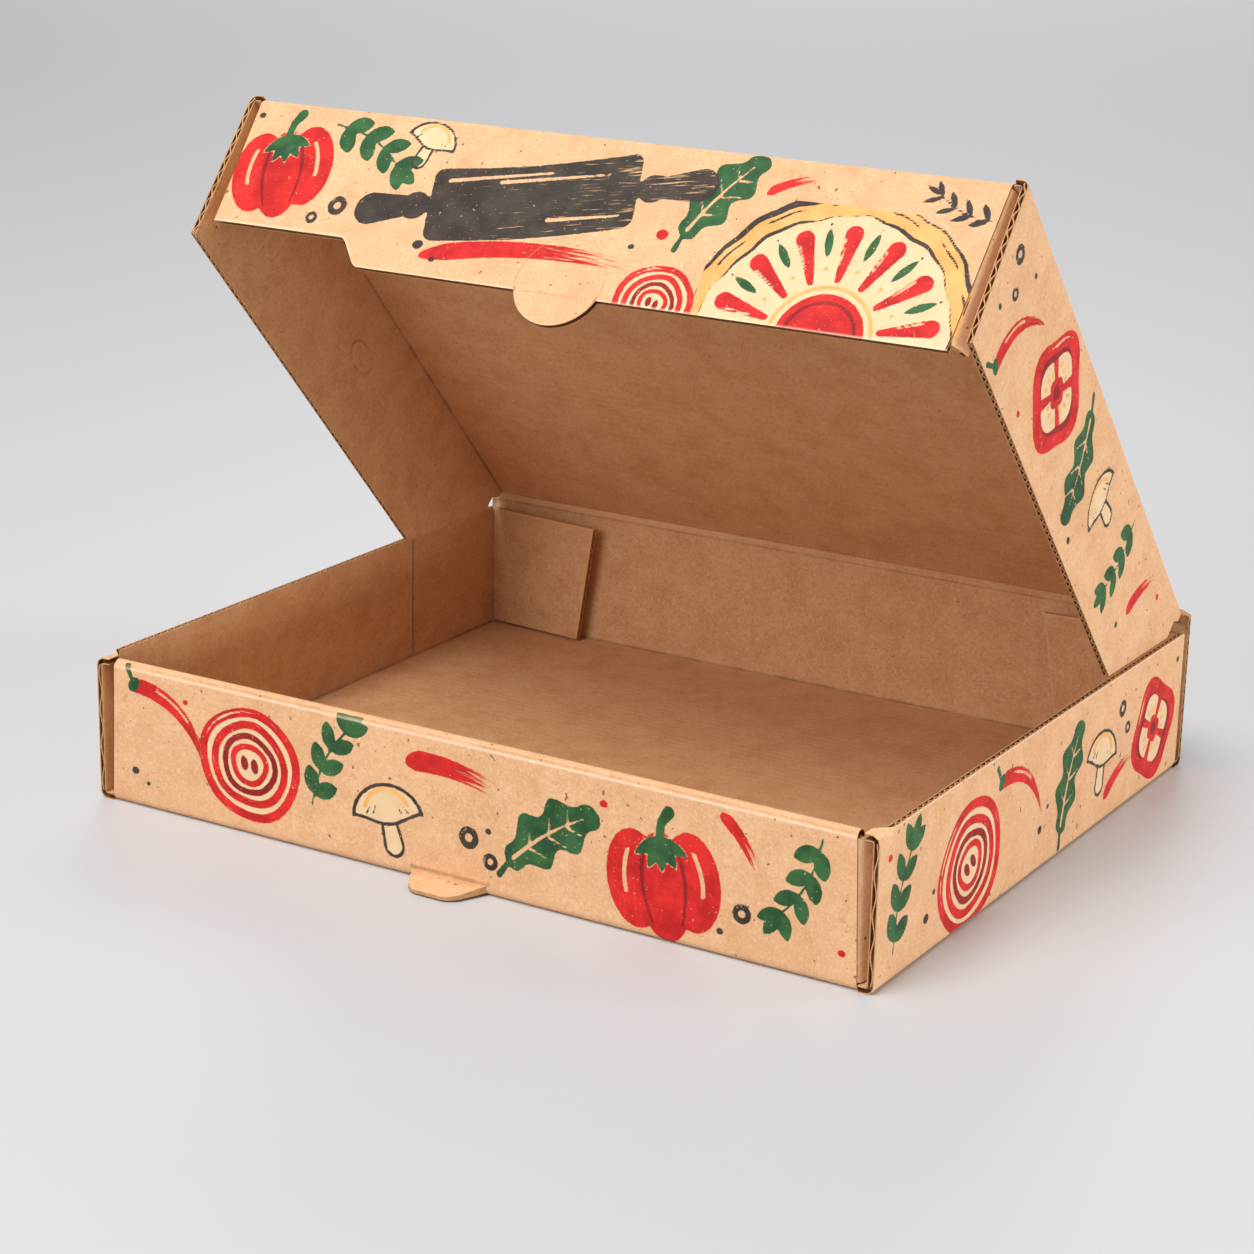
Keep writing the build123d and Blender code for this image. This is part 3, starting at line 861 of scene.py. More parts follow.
limit = ramped(tree, channels["dry"], 0.0, DRIEST, 0.12, 0.62)
full = ramped(tree, calc(tree, "SUBTRACT", streaks, limit), -0.05, 0.05)
pinholes = ramped(tree, noise(tree, place, PINHOLE_SIZE, 1, 0.5), 0.72, 0.76, 1.0, 0.3)
hold = calc(tree, "MULTIPLY", full, pinholes)
laid_on = ramped(tree, noise(tree, place, PATCH_SIZE, 4, 0.6), 0.38, 0.62)
covered = 0.0
for name, tones in INK_COLOURS.items():
    edge = ramped(tree, calc(tree, "ADD", channels[name], wobble), SOFT, -SOFT)
    layer = calc(tree, "MULTIPLY", edge, hold)
    tone = mixed(tree, laid_on, *(linear(code) for code in tones))
    colour = mixed(tree, layer, colour, tone)
    covered = calc(tree, "MAXIMUM", covered, layer)
tree.links.new(marked_with_painted_light(tree, place, colour, OUTSIDE_MARK_AND_PAINTED_LIGHT_TONES), shader.inputs["Base Color"])
sheen = ramped(tree, covered, 0.0, 1.0, BARE_ROUGHNESS, INK_ROUGHNESS)
tree.links.new(sheen, shader.inputs["Roughness"])
relief(tree, shader, place, board, grain)
board_papers = [kraft_outside, kraft_inside, paper_cut, fluting]
print("inks", list(INK_COLOURS))

# %% [markdown]
# The tray's floor and both side walls are one strip of board: a wide U in section, carried from the
# front to the back. The floor stops short of the front wall, where the sheet is folded the other
# way, while the side walls run on to the front corners and show their raw ends there. Near the front
# the top of each wall is bent in, as a short hook over the front wall's ear.

# %% Tray floor and side walls


def both_halves(half):
    """The corners of a section's right half, followed by their mirror images."""
    return half + [(-x, z) for x, z in half[::-1]]


FACE_INSET = 8.3     # the printed front's top ends this far inside the side walls' outer faces
FACE_TAPER = 2.2     # and its foot is this much wider at each end
TAPER_OVER = 12.0    # only the last millimetres of the panel take the slant up
face_x = wall_x - FACE_INSET
foot_x = face_x + FACE_TAPER
floor_front = front_y + 2 * (FOLD + HALF)
LOOSE = 0.5          # air between layers that only lie against each other
rear_corner_y = back_y - BOARD - LOOSE - HALF
side_end_y = rear_corner_y - FOLD
SCORE_FROM_CORNER = 62.0
SCORE_WIDTH = 0.9
SCORE_DEPTH = 0.7
WALL_BOW = 0.35      # the side walls' tops lean in this much at their middle
EAR_REACH = 8.0      # how far back the front wall's ears reach, and the hooks over them
side_middle = wall_x - HALF
HOOK_START = wall_top - HALF - FOLD
HOOK_SHORT = 2.6     # the hook ends this far short of the front wall, so a dark dip shows there
HOOK_LENGTH = FOLD * math.pi / 2 + side_middle - FOLD - face_x - HOOK_SHORT
HOOK_SLOT = 3.0      # the raw edge's slot starts this far along the hook
HOOK_OPENS = 2.5     # the fold opens out evenly over this length to each side of the ear's end


def hooked(x, z):
    """The wall's top bent in: round a quarter circle of the fold's radius, then level.

    s is the way along the bend. Points of the slot, nearer the middle line, stay in the level part."""
    out = np.abs(x) - side_middle
    up = np.clip(z - HOOK_START, 0, None) / (wall_top - HOOK_START)
    in_slot = (np.abs(out) < HALF - LINER + LEG / 2) & (z >= HOOK_START)
    s = np.where(in_slot, HOOK_SLOT + up * (HOOK_LENGTH - HOOK_SLOT), up * HOOK_LENGTH)
    a = np.clip(s / FOLD, 0, np.pi / 2)
    level = np.clip(s - FOLD * np.pi / 2, 0, None)
    bent = side_middle - FOLD + (FOLD + out) * np.cos(a) - level
    high = z >= HOOK_START
    return np.where(high, np.sign(x) * bent, x), np.where(high, HOOK_START + (FOLD + out) * np.sin(a), z)


def place_tray_side(x, z, t):
    """y runs from the front edge, or the floor's front edge under it, to the rear corner.

    The walls bow in by a half sine over their length, times the square of the height. A score
    across each inner face is a groove with sloping sides."""
    start = np.where(np.abs(x) > foot_x, front_y, floor_front)
    y = start + t * (side_end_y - start)
    hook_x, hook_z = hooked(x, z)
    fold_share = np.clip((front_y + EAR_REACH + HOOK_OPENS - y) / (2 * HOOK_OPENS), 0, 1)
    x, z = x + fold_share * (hook_x - x), z + fold_share * (hook_z - z)
    height = np.clip(z / wall_top, 0, 1)
    bow = WALL_BOW * height ** 2 * np.sin(np.pi * t)
    inner = (np.abs(x) < wall_x - HALF) & (z > FOLD + HALF)
    across = np.abs(y - (rear_corner_y - SCORE_FROM_CORNER))
    groove = SCORE_DEPTH * np.clip(2 - 2 * across / SCORE_WIDTH, 0, 1) * inner
    return x + np.sign(x) * (groove - bow), y, z


STEP = 0.3           # a step in a strip's end is drawn over this much to each side
tray_half = [(side_middle, wall_top), (side_middle, HOOK_START - 1), (side_middle, HALF),
             (foot_x + STEP, HALF), (foot_x - STEP, HALF)]
WIDE = 40.0          # mesh spacing across the flat floor
outer_spacing = [GRID] * 2 + [WIDE] * 5 + [GRID] * 2
inner_spacing = [GRID, COARSE] + [WIDE] * 5 + [COARSE, GRID]
side_section = section(both_halves(tray_half), [FOLD] * 8, outer_spacing, inner_spacing, (OPEN, OPEN))
side_length = side_end_y - front_y
hook_t = EAR_REACH / side_length
score_t = (rear_corner_y - SCORE_FROM_CORNER - front_y) / side_length
score_half = SCORE_WIDTH / side_length
score_breaks = [score_t + share * score_half for share in (-1, -0.5, 0.5, 1)]
side_columns = columns([0, hook_t, *score_breaks, 1], GRID / side_length)
tray_sides = loft(side_section, place_tray_side, side_columns, (OPEN, SHUT))
print("side walls from", front_y, "to", side_end_y, "score at", rear_corner_y - SCORE_FROM_CORNER)

# %% [markdown]
# The front wall is a second strip, as wide as the printed face: out of the floor, up, over in a
# tight roll and down again inside. At each end an ear of the outer layer bends back beside the
# side wall, with a dark slot between them.

# %% Tray front wall, its ears and the lock tongue
LAYER_GAP = 0.6
ROLL = (BOARD + LAYER_GAP) / 2
EAR_GAP = 1.0        # left between the ear's tip and the side wall
EAR_SET = 0.5        # the ear lies this far behind the printed face
EAR_HIDDEN = 2.5     # it starts this far in behind the face's edge
EAR_BEND = 0.3       # and turns this far outside the edge, to slant back beside the wall
FRONT_BOW = 0.8      # the rolled top leans in this much at the middle
ear_x = wall_x - BOARD - EAR_GAP
roll_top = wall_top - HALF
ear_low, ear_high = FOLD + HALF, roll_top - ROLL


def slanted(x, end_x, share):
    """x with the last TAPER_OVER before each end drawn in, at the end by the share of FACE_TAPER."""
    near_end = np.clip((np.abs(x) - end_x) / TAPER_OVER + 1, 0, 1)
    return x - np.sign(x) * FACE_TAPER * np.clip(share, 0, 1) * near_end


def place_front(y, z, x):
    """The section stands across the box; its top bows back by a half cosine of x."""
    bow = FRONT_BOW * np.clip(z / wall_top, 0, 1) ** 2 * np.cos(np.pi * x / (2 * foot_x))
    return slanted(x, foot_x, z / wall_top), y + bow, z


def ear_section(tip_x, edge_x, front):
    """An ear in plan: from its tip forwards to a fold near the face's edge, and in behind the face."""
    inside = front + HALF + EAR_SET
    corners = [(tip_x - HALF, front + EAR_REACH), (edge_x + EAR_BEND, inside), (edge_x - EAR_HIDDEN, inside)]
    return section(corners, [FOLD], [1, 1], [1, 1], (OPEN, SHUT))


def place_tray_ear(x, y, z):
    """The ear's plan, stretched towards the foot so that it follows the slanted end of the face."""
    share = (ear_x - x) / (ear_x - face_x)
    return x + share * FACE_TAPER * (1 - z / wall_top), y, z


outer_y = front_y + HALF
front_corners = [(floor_front, HALF), (outer_y, HALF), (outer_y, roll_top),
                 (outer_y + 2 * ROLL, roll_top), (outer_y + 2 * ROLL, BOARD)]
front_section = section(
    front_corners, [FOLD, ROLL, ROLL], [3, GRID, 1, COARSE], [3, COARSE, 1, COARSE], (SHUT, SHUT))
tray_front = loft(front_section, place_front, columns([-foot_x, foot_x], GRID), (OPEN, OPEN))
tray_ear = loft(ear_section(ear_x, face_x, front_y), place_tray_ear, columns([ear_low, ear_high], COARSE))

TONGUE_X = -4.0
TONGUE_HALF, TONGUE_TIP_HALF = 15.5, 9.0
TONGUE_REACH = 13.0
TONGUE_ROUND = 4.0
TONGUE_TOP = 3.7
TONGUE_SLOPE = math.radians(5)
TONGUE_CRUSH = 0.5


def place_tongue(a, b, s):
    """a is across, from -1 to 1, b the thickness, and s the way out from the front face.

    The half width narrows in a straight line and then follows a quarter circle at the tip. The
    die crushes the board there, so the thickness falls to TONGUE_CRUSH of its own."""
    taper = TONGUE_HALF + (TONGUE_TIP_HALF - TONGUE_HALF) * np.clip(s / TONGUE_REACH, 0, 1)
    left = np.clip((s - TONGUE_REACH + TONGUE_ROUND) / TONGUE_ROUND, 0, 1)
    half = taper - TONGUE_ROUND * (1 - np.sqrt(1 - left ** 2))
    drop = s * math.sin(TONGUE_SLOPE)
    thick = b * (1 - (1 - TONGUE_CRUSH) * np.clip(s / TONGUE_REACH, 0, 1) ** 2)
    return TONGUE_X + a * half, front_y - s * math.cos(TONGUE_SLOPE), TONGUE_TOP - HALF + thick - drop


share = np.linspace(-1, 1, 9)
tongue_loop = np.concatenate([np.stack([way * share, np.full(len(share), way * HALF)], 1) for way in (1, -1)])
tongue_faces = np.repeat([OUTSIDE, CUT, INSIDE, CUT], [len(share) - 1, 1] * 2)
tongue_straight = TONGUE_REACH - TONGUE_ROUND
tip_angles = np.linspace(0, np.pi / 2, 8)[1:]
tongue_ways = np.concatenate([[-BOARD], np.linspace(0, tongue_straight, 6),
                              tongue_straight + TONGUE_ROUND * np.sin(tip_angles)])
tongue = loft((tongue_loop, tongue_loop, tongue_faces), place_tongue, tongue_ways)
print("front wall rolls over at", roll_top, "ears reach back", EAR_REACH)

# %% [markdown]
# The back wall is a third strip, the full width of the sheet, so its ends stand out at the rear
# corners as raw edges with the waves in view. The ends of the side walls fold in front of it as two
# loose flaps, longer at the top than at the bottom, which lean off the wall a little.

# %% Tray back wall and rear corner flaps
HINGE_REACH = 1.4    # the hinge fold's own strip starts this far from the hinge line
FLAP_TOP, FLAP_LOW = 56.0, 47.0
FLAP_LEAN = math.radians(5)
FLAP_DROP = 0.8
flap_bottom = FOLD + HALF + LOOSE


def place_back(y, z, x):
    """The section stands across the box, unchanged."""
    return x, y, z


def place_flap(x, y, z):
    """Past the corner the flap's length goes from FLAP_LOW at the floor to FLAP_TOP at the top."""
    full = FLAP_TOP * math.cos(FLAP_LEAN)
    share = (FLAP_LOW + (full - FLAP_LOW) * z / wall_top - FOLD) / (full - FOLD)
    bend_x = side_middle - FOLD
    moved = np.minimum(x, bend_x) - bend_x
    return x + moved * (share - 1), y + moved * (share - 1) * math.tan(FLAP_LEAN), z


back_corners = [(hinge_y, hinge_z - HINGE_REACH), (hinge_y, HALF), (side_end_y, HALF)]
back_section = section(back_corners, [FOLD], [COARSE, 3], [1, 3], (SHUT, SHUT))
tray_back = loft(back_section, place_back, columns([-wall_x, wall_x], COARSE), (OPEN, OPEN))
flap_tip = (side_middle - FLAP_TOP * math.cos(FLAP_LEAN), rear_corner_y - FLAP_TOP * math.sin(FLAP_LEAN))
flap_corners = [flap_tip, (side_middle, rear_corner_y), (side_middle, side_end_y)]
flap_section = section(flap_corners, [FOLD], [COARSE, 3], [1, 3], (OPEN, SHUT))
tray_flap = loft(flap_section, place_flap, columns([flap_bottom, wall_top - FLAP_DROP], COARSE))
print("rear flaps reach in to x =", round(flap_tip[0], 1))

# %% [markdown]
# The lid is worked out closed, in its own coordinates: x across, u from the hinge line towards the
# front, and d down from the middle of the lid's panel. One function turns these about the hinge to
# where the lid stands in the photograph.

# %% Lid coordinates
LID_LENGTH = 254.0
LID_GAP = 3.0        # the lid's side panels stand this far inside the tray's outer faces
LEAN = math.radians(9)
LID_FACE_INSET = 5.8
lid_x = wall_x - LID_GAP
lid_face_x = lid_x - LID_FACE_INSET


def lid_world(x, u, d):
    """x, and (u, d) turned about the hinge line by the lid's open angle."""
    y = hinge_y - u * math.cos(open_angle) - d * math.sin(open_angle)
    z = hinge_z + u * math.sin(open_angle) - d * math.cos(open_angle)
    return x, y, z


# %% [markdown]
# The lid's top and side panels are one strip, a U turned over. The side panels are cut on a slant
# at the front, where the flap leans past square, and at the rear, where they clear the hinge, so
# the two ends of the strip depend on the depth.

# %% Lid top and side panels
SIDE_DEPTH, SIDE_DEPTH_REAR = 58.06, 57.0
FRONT_BACK = 9.4     # the side panels' lower front corner is this far behind the fold
FRONT_END = LID_LENGTH - FOLD - HALF
REAR_CUT_DEPTH = [0.6, 4.6, 7.0, 14.8, 57.0]
REAR_CUT = [1.5, 1.9, 5.8, 5.8, 44.0]
VENT_U, VENT_D = 128.0, 25.0
VENT_HALF_U, VENT_HALF_D = 8.5, 5.25
VENT_SCORE = 0.35
TOP_SAG = 1.2
LID_GRID = 0.9       # a little wider than GRID: the strip is long, and this keeps its mesh light


def place_lid_side(x, d, t):
    """u goes from the rear cut to the front cut at each depth; the panel gets shallower to the rear.

    The lid's middle sags by a product of half sines. A scored oval is a groove along an ellipse in
    each inner face."""
    side = d > FOLD + HALF
    d = np.where(side, d * (SIDE_DEPTH_REAR + (SIDE_DEPTH - SIDE_DEPTH_REAR) * t) / SIDE_DEPTH, d)
    rear = np.interp(d, REAR_CUT_DEPTH, REAR_CUT)
    front = LID_LENGTH - (d + HALF) * FRONT_BACK / (SIDE_DEPTH + HALF)
    front = np.where(np.abs(x) > lid_face_x + STEP, front, FRONT_END)
    u = rear + t * (front - rear)
    sag = TOP_SAG * np.cos(np.pi * np.clip(x / lid_x, -1, 1) / 2) * np.sin(np.pi * t)
    inner = side & (np.abs(x) < lid_x - HALF)
    ring = np.hypot((u - VENT_U) / VENT_HALF_U, (d - VENT_D) / VENT_HALF_D) - 1
    score = VENT_SCORE * np.clip(1 - np.abs(ring) * VENT_HALF_D / 0.8, 0, 1) * inner
    return lid_world(x + np.sign(x) * score, u, d + np.where(side, 0, sag))


lid_middle = lid_x - HALF
vent_band = (VENT_D - VENT_HALF_D - 2, 53.0)     # the inner faces have finer rows between these depths
TOP_GRID, VENT_GRID = 12.0, 1.2
lid_half = [(lid_middle, d) for d in (SIDE_DEPTH, vent_band[1], vent_band[0], 0)]
lid_half += [(lid_face_x + 2 * STEP, 0), (lid_face_x, 0)]
fine = [GRID] * 3 + [TOP_GRID] * 5 + [GRID] * 3
coarse = [COARSE, VENT_GRID, VENT_GRID] + [TOP_GRID] * 5 + [VENT_GRID, VENT_GRID, COARSE]
lid_section = section(both_halves(lid_half), [FOLD] * 10, fine, coarse, (OPEN, OPEN))
lid_sides = loft(lid_section, place_lid_side, columns([0, 1], LID_GRID / LID_LENGTH), (OPEN, OPEN))
print("lid strip", len(lid_section[0]), "points a ring")

# %% [markdown]
# The front flap folds down past square. Its lower edge has a shallow stretch at the left, a slanted
# step, and a thumb tab like a coin's edge, so the flap's depth is a function of x and the rows of
# the mesh stretch to follow it.

# %% Lid front flap and its ears
FLAP_DEPTH = 64.0
STEP_X = (-lid_face_x + 60.5, -lid_face_x + 69.5)
STEP_DEPTH = 11.0
STEP_BLUNT = 1.3     # a mean over this much to each side rounds the step's corners
THUMB_X, THUMB_HALF, THUMB_DROP = 2.0, 16.5, 12.0
thumb_radius = (THUMB_HALF ** 2 + THUMB_DROP ** 2) / (2 * THUMB_DROP)
fold_take_up = HALF * (1 + math.sin(LEAN)) / math.cos(LEAN)
flap_u = LID_LENGTH - HALF * math.cos(LEAN) - (HALF + HALF * math.sin(LEAN)) * math.tan(LEAN)
LID_EAR_LOW = (61.5, 53.0)   # right and left; the left one ends at the flap's shallow stretch
LID_EAR_HIGH = 3.4


def flap_depth(x):
    """Depth of the flap: a rounded step at the left and an arc for the thumb, y = sqrt(r^2 - x^2)."""
    shifts = np.linspace(-STEP_BLUNT, STEP_BLUNT, 7)
    step = np.mean([np.interp(x + shift, STEP_X, [STEP_DEPTH, 0]) for shift in shifts], axis=0)
    inside = np.clip(thumb_radius ** 2 - (x - THUMB_X) ** 2, 0, None)
    arc = np.sqrt(inside) - thumb_radius + THUMB_DROP
    return FLAP_DEPTH - step + np.clip(arc, 0, None)


def place_lid_flap(u, d, x):
    """Points below the fold move along the flap, by its depth at x over its full depth."""
    down = d / math.cos(LEAN)
    reach = (flap_depth(x) - 2 * BOARD) / (FLAP_DEPTH - 2 * BOARD)
    extra = np.clip(down - 2 * BOARD, 0, None) * (reach - 1)
    x = slanted(x, lid_face_x, down / FLAP_DEPTH)
    return lid_world(x, u - extra * math.sin(LEAN), d + extra * math.cos(LEAN))


def place_lid_ear(x, e, h):
    """e is the way back from the flap's outer face, and h the way down it from the fold."""
    x = x + (lid_ear_x - x) / (lid_ear_x - lid_face_x + FACE_TAPER) * FACE_TAPER * (1 - h / FLAP_DEPTH)
    u = LID_LENGTH - h * math.sin(LEAN) - e * math.cos(LEAN)
    d = -HALF + h * math.cos(LEAN) - e * math.sin(LEAN)
    return lid_world(x, u, d)


flap_length = FLAP_DEPTH - fold_take_up
flap_foot = (flap_u - flap_length * math.sin(LEAN), flap_length * math.cos(LEAN))
lid_flap_corners = [flap_foot, (flap_u, 0), (FRONT_END, 0)]
lid_flap_section = section(lid_flap_corners, [FOLD], [GRID, 3], [COARSE, 3], (OPEN, SHUT))
thumb_angles = np.linspace(0, np.pi, 41)     # columns close up towards the arc's ends, where it is steep
thumb_columns = THUMB_X - THUMB_HALF * np.cos(thumb_angles)
flap_breaks = [-lid_face_x, STEP_X[0] - STEP_BLUNT, STEP_X[1] + STEP_BLUNT, *thumb_columns, lid_face_x]
lid_flap = loft(lid_flap_section, place_lid_flap, columns(flap_breaks, GRID))
lid_ear_x = lid_x - BOARD - EAR_GAP
lid_ear_plan = ear_section(lid_ear_x, lid_face_x - FACE_TAPER, 0)
lid_ears = [loft(lid_ear_plan, place_lid_ear, columns([LID_EAR_HIGH, low], COARSE)) for low in LID_EAR_LOW]
print("thumb arc radius", round(thumb_radius, 2))

# %% [markdown]
# The hinge is only a fold in the sheet, so a short strip of board bends between the two bodies. Its
# outer face is an arc about the hinge line, and its inner face closes to a crease.

# %% Hinge fold
HINGE_STEPS = 9
turn = math.pi / 2 - open_angle
arc = np.linspace(0, turn, HINGE_STEPS)
outer_arc = np.stack([HALF * np.cos(arc), HALF * np.sin(arc)], 1)
crease = HALF * math.tan(turn / 2)
lid_way = np.array([-math.cos(open_angle), math.sin(open_angle)])
lid_in = np.array([-math.sin(open_angle), -math.cos(open_angle)])
hinge_loop = np.concatenate([
    [(HALF, -HINGE_REACH)], outer_arc, [lid_way * HINGE_REACH - lid_in * HALF],
    [lid_way * HINGE_REACH + lid_in * HALF], [lid_way * crease + lid_in * HALF], [(-HALF, -HINGE_REACH)]])
hinge_faces = np.concatenate([np.full(HINGE_STEPS + 1, OUTSIDE), [CUT], [INSIDE, INSIDE], [CUT]])


def place_hinge(a, b, s):
    """a and b are y and z from the hinge line; the strip narrows from the wall's width to the lid's."""
    width = wall_x + (lid_x - wall_x) * np.clip(b / HINGE_REACH, 0, 1)
    return s * width, hinge_y + a, hinge_z + b


hinge_strip = loft((hinge_loop, hinge_loop, hinge_faces), place_hinge, columns([-1, 1], 0.05))
print("the fold turns", round(math.degrees(turn), 1), "degrees as the lid stands")

# %% [markdown]
# The ribbons of wavy paper lie along every raw edge that shows: the side walls' tops and front ends,
# the back wall's ends, the rear flaps' free ends, and the rear, lower and front cuts of the lid's side
# panels. A cut on a slant crosses the waves more slowly, so its wave is longer.

# %% Medium in the raw edges
ACROSS, INWARDS, BACKWARDS, DOWN = np.array([(1, 0, 0), (-1, 0, 0), (0, 1, 0), (0, 0, -1)])


def lid_point(x, u, d):
    """A point of the lid as an array."""
    return np.array(lid_world(x, u, d), float)


def lid_way_of(u, d):
    """A direction in the lid's own u and d as a unit vector."""
    return lid_point(0, u, d) - lid_point(0, 0, 0)


def both(start, end, inward, thick, pitch=FLUTE):
    """A ribbon on the right and its mirror image on the left."""
    shell = ribbon(start, end, inward, thick, pitch)
    return [shell, mirrored(shell)]


flap_way = np.array([-math.cos(FLAP_LEAN), -math.sin(FLAP_LEAN), 0])
flap_thick = np.array([-math.sin(FLAP_LEAN), math.cos(FLAP_LEAN), 0])
flap_tips = [np.array(place_flap(*flap_tip, z)) for z in (flap_bottom, wall_top - FLAP_DROP)]
behind_hook = front_y + EAR_REACH + HOOK_OPENS + LOOSE
raw_foot = FOLD + HALF
tray_ribbons = (
    both((side_middle, behind_hook, wall_top), (side_middle, side_end_y, wall_top), DOWN, ACROSS)
    + both((side_middle, front_y, raw_foot), (side_middle, front_y, HOOK_START), BACKWARDS, ACROSS, LONG_WAVE)
    + both((wall_x, hinge_y, raw_foot), (wall_x, hinge_y, hinge_z - HINGE_REACH), INWARDS, BACKWARDS)
    + both(flap_tips[0], flap_tips[1] + DOWN, -flap_way, flap_thick))
rear_lower = (REAR_CUT[-1], REAR_CUT_DEPTH[-1])
front_lower = (LID_LENGTH - FRONT_BACK, SIDE_DEPTH)
rear_upper = (REAR_CUT[-2], REAR_CUT_DEPTH[-2])
rear_slant = unit(np.subtract(rear_lower, rear_upper))
lower_way = unit(np.subtract(front_lower, rear_lower))
lid_ends = [lid_point(lid_middle, *place) for place in (rear_upper, rear_lower, front_lower, (LID_LENGTH, 0))]
lid_ribbons = (
    both(lid_ends[1], lid_ends[2], lid_way_of(lower_way[1], -lower_way[0]), ACROSS)
    + both(lid_ends[0], lid_ends[1], lid_way_of(rear_slant[1], -rear_slant[0]), ACROSS, FLUTE / rear_slant[0])
    + both(lid_ends[2], lid_ends[3], lid_way_of(-1, 0), ACROSS, SLANT_WAVE))
print(len(tray_ribbons), "tray ribbons", len(lid_ribbons), "lid ribbons")

# %% [markdown]
# A folded sheet shows where it was bent and handled: the liner is strained along each fold, bare
# edges are rubbed, and a score is pressed in. The same lines also carry painted light: dark lines of
# painted shade and shadow in inner corners, in the side walls' score and under the hinge's ledge,
# and light lines of painted highlight along folds, edges and rims. The papers read these lines from
# attributes, and here each part gets them from plain distances: how far a point lies from the nearest
# dark line, light line and score. The place in the print comes the same way, from lengths along the
# sheet, so the drawings lie on the board as printed and run round no corner.

# %% Attributes from a point's place
NEVER = 99.0
SLACK = 0.2          # room when points are sorted by the panel that they lie on
SCORE_HIGHLIGHT = 1.6      # a light line of painted highlight lies this far in front of the tray's score
ROLL_WEAR_AND_HIGHLIGHT, ROLL_SCORE = 2.0, 1.1      # a light line of rubbed wear and painted highlight, and a score, this far below the rolled top
HINGE_SHADOW, HINGE_HIGHLIGHT = 3.4, 1.4   # a dark line of painted shadow and a light ledge of painted highlight lie this far below the hinge line
HINGE_FADE = (-90.0, 110.0)          # the painted highlight under the hinge fades out to the right from this x, over this length
LINE_BESIDE = 0.9    # a pressed line has a second one this far beside it: a light one of wear and painted highlight inside the vent's oval, a dark one of painted shade outside the finger loops
FINGER_PLACE, FINGER_STEP = (233.0, 40.0), (9.0, 5.0)
FINGER_LONG, FINGER_RADIUS = 7.0, 4.0


def where_in(mask, distance):
    """The distance where the mask holds, and nowhere else."""
    return np.where(mask, distance, NEVER)


def gathered(points, prints, board, crease, rub_and_highlight, score=NEVER):
    """A part's attributes: prints, board coordinates and lines.

    prints lists a mask, a layout and panel coordinates. The lines are FAR less each distance, so that
    a piece without them has none. A bit added to a distance makes its line fainter."""
    canvases = [printed(layout, p[mask], q[mask]) for mask, layout, p, q in prints]
    fields = packed(canvases, [mask for mask, *_ in prints], len(points))
    fields["board"] = np.stack([*board, np.zeros(len(points))], -1)
    # the crease lines are mostly painted shade, and the rubbed lines are rubbed wear and painted highlight
    fields["marks"] = FAR - np.stack(np.broadcast_arrays(crease, rub_and_highlight, score), -1)
    return fields


def tray_side_fields(points):
    """Print on the two outer faces; ribs run up the walls, so they vary with y.

    Dark lines of painted shade lie in the inner corners where the walls leave the floor and in the
    score, a light line of painted highlight lies in front of the score, and rubbed wear and painted
    highlight make a light line along the walls' tops."""
    x, y, z = points.T
    right, left = x > wall_x - HALF, x < HALF - wall_x
    inner = (np.abs(x) < wall_x - HALF) & (z > HALF)
    from_score = y - (rear_corner_y - SCORE_FROM_CORNER)
    on_wall = inner & (z > FOLD + HALF)
    # dark lines: painted shade in the inner corners and in the score
    crease = np.minimum(where_in(inner, corner(wall_x - BOARD - np.abs(x), z - BOARD)),
                        where_in(on_wall, np.abs(from_score)))
    # light lines: painted highlight in front of the score, rubbed wear and painted highlight along the tops
    rub_and_highlight = np.minimum(where_in(on_wall, np.abs(from_score + SCORE_HIGHLIGHT)),
                     where_in(~inner, np.abs(z - wall_top) + 0.3))
    prints = [(right, RIGHT_PRINT, y, z), (left, LEFT_PRINT, -y, z)]
    return gathered(points, prints, (y, x + np.sign(x) * z), crease, rub_and_highlight)


def tray_front_fields(points):
    """Print on the front face; ribs run along x, so they vary with the height.

    The rolled top has a light line of rubbed wear and painted highlight, with a score above it, and
    a dark line of painted shade runs round the tongue's root, in the corner where it leaves the face."""
    x, y, z = points.T
    front = y < front_y + HALF + FRONT_BOW
    below = wall_top - z
    # the dark line over the tongue's root is painted shade in its corner; the light line under the roll is
    # rubbed wear and painted highlight
    root = corner(np.abs(x - TONGUE_X) - TONGUE_HALF - 0.6, np.abs(z - TONGUE_TOP - 0.5))
    return gathered(points, [(front, FRONT_PRINT, x, z)], (z - y, x), where_in(front, root),
                    where_in(front, np.abs(below - ROLL_WEAR_AND_HIGHLIGHT) + 0.35),
                    where_in(front, np.abs(below - ROLL_SCORE)))


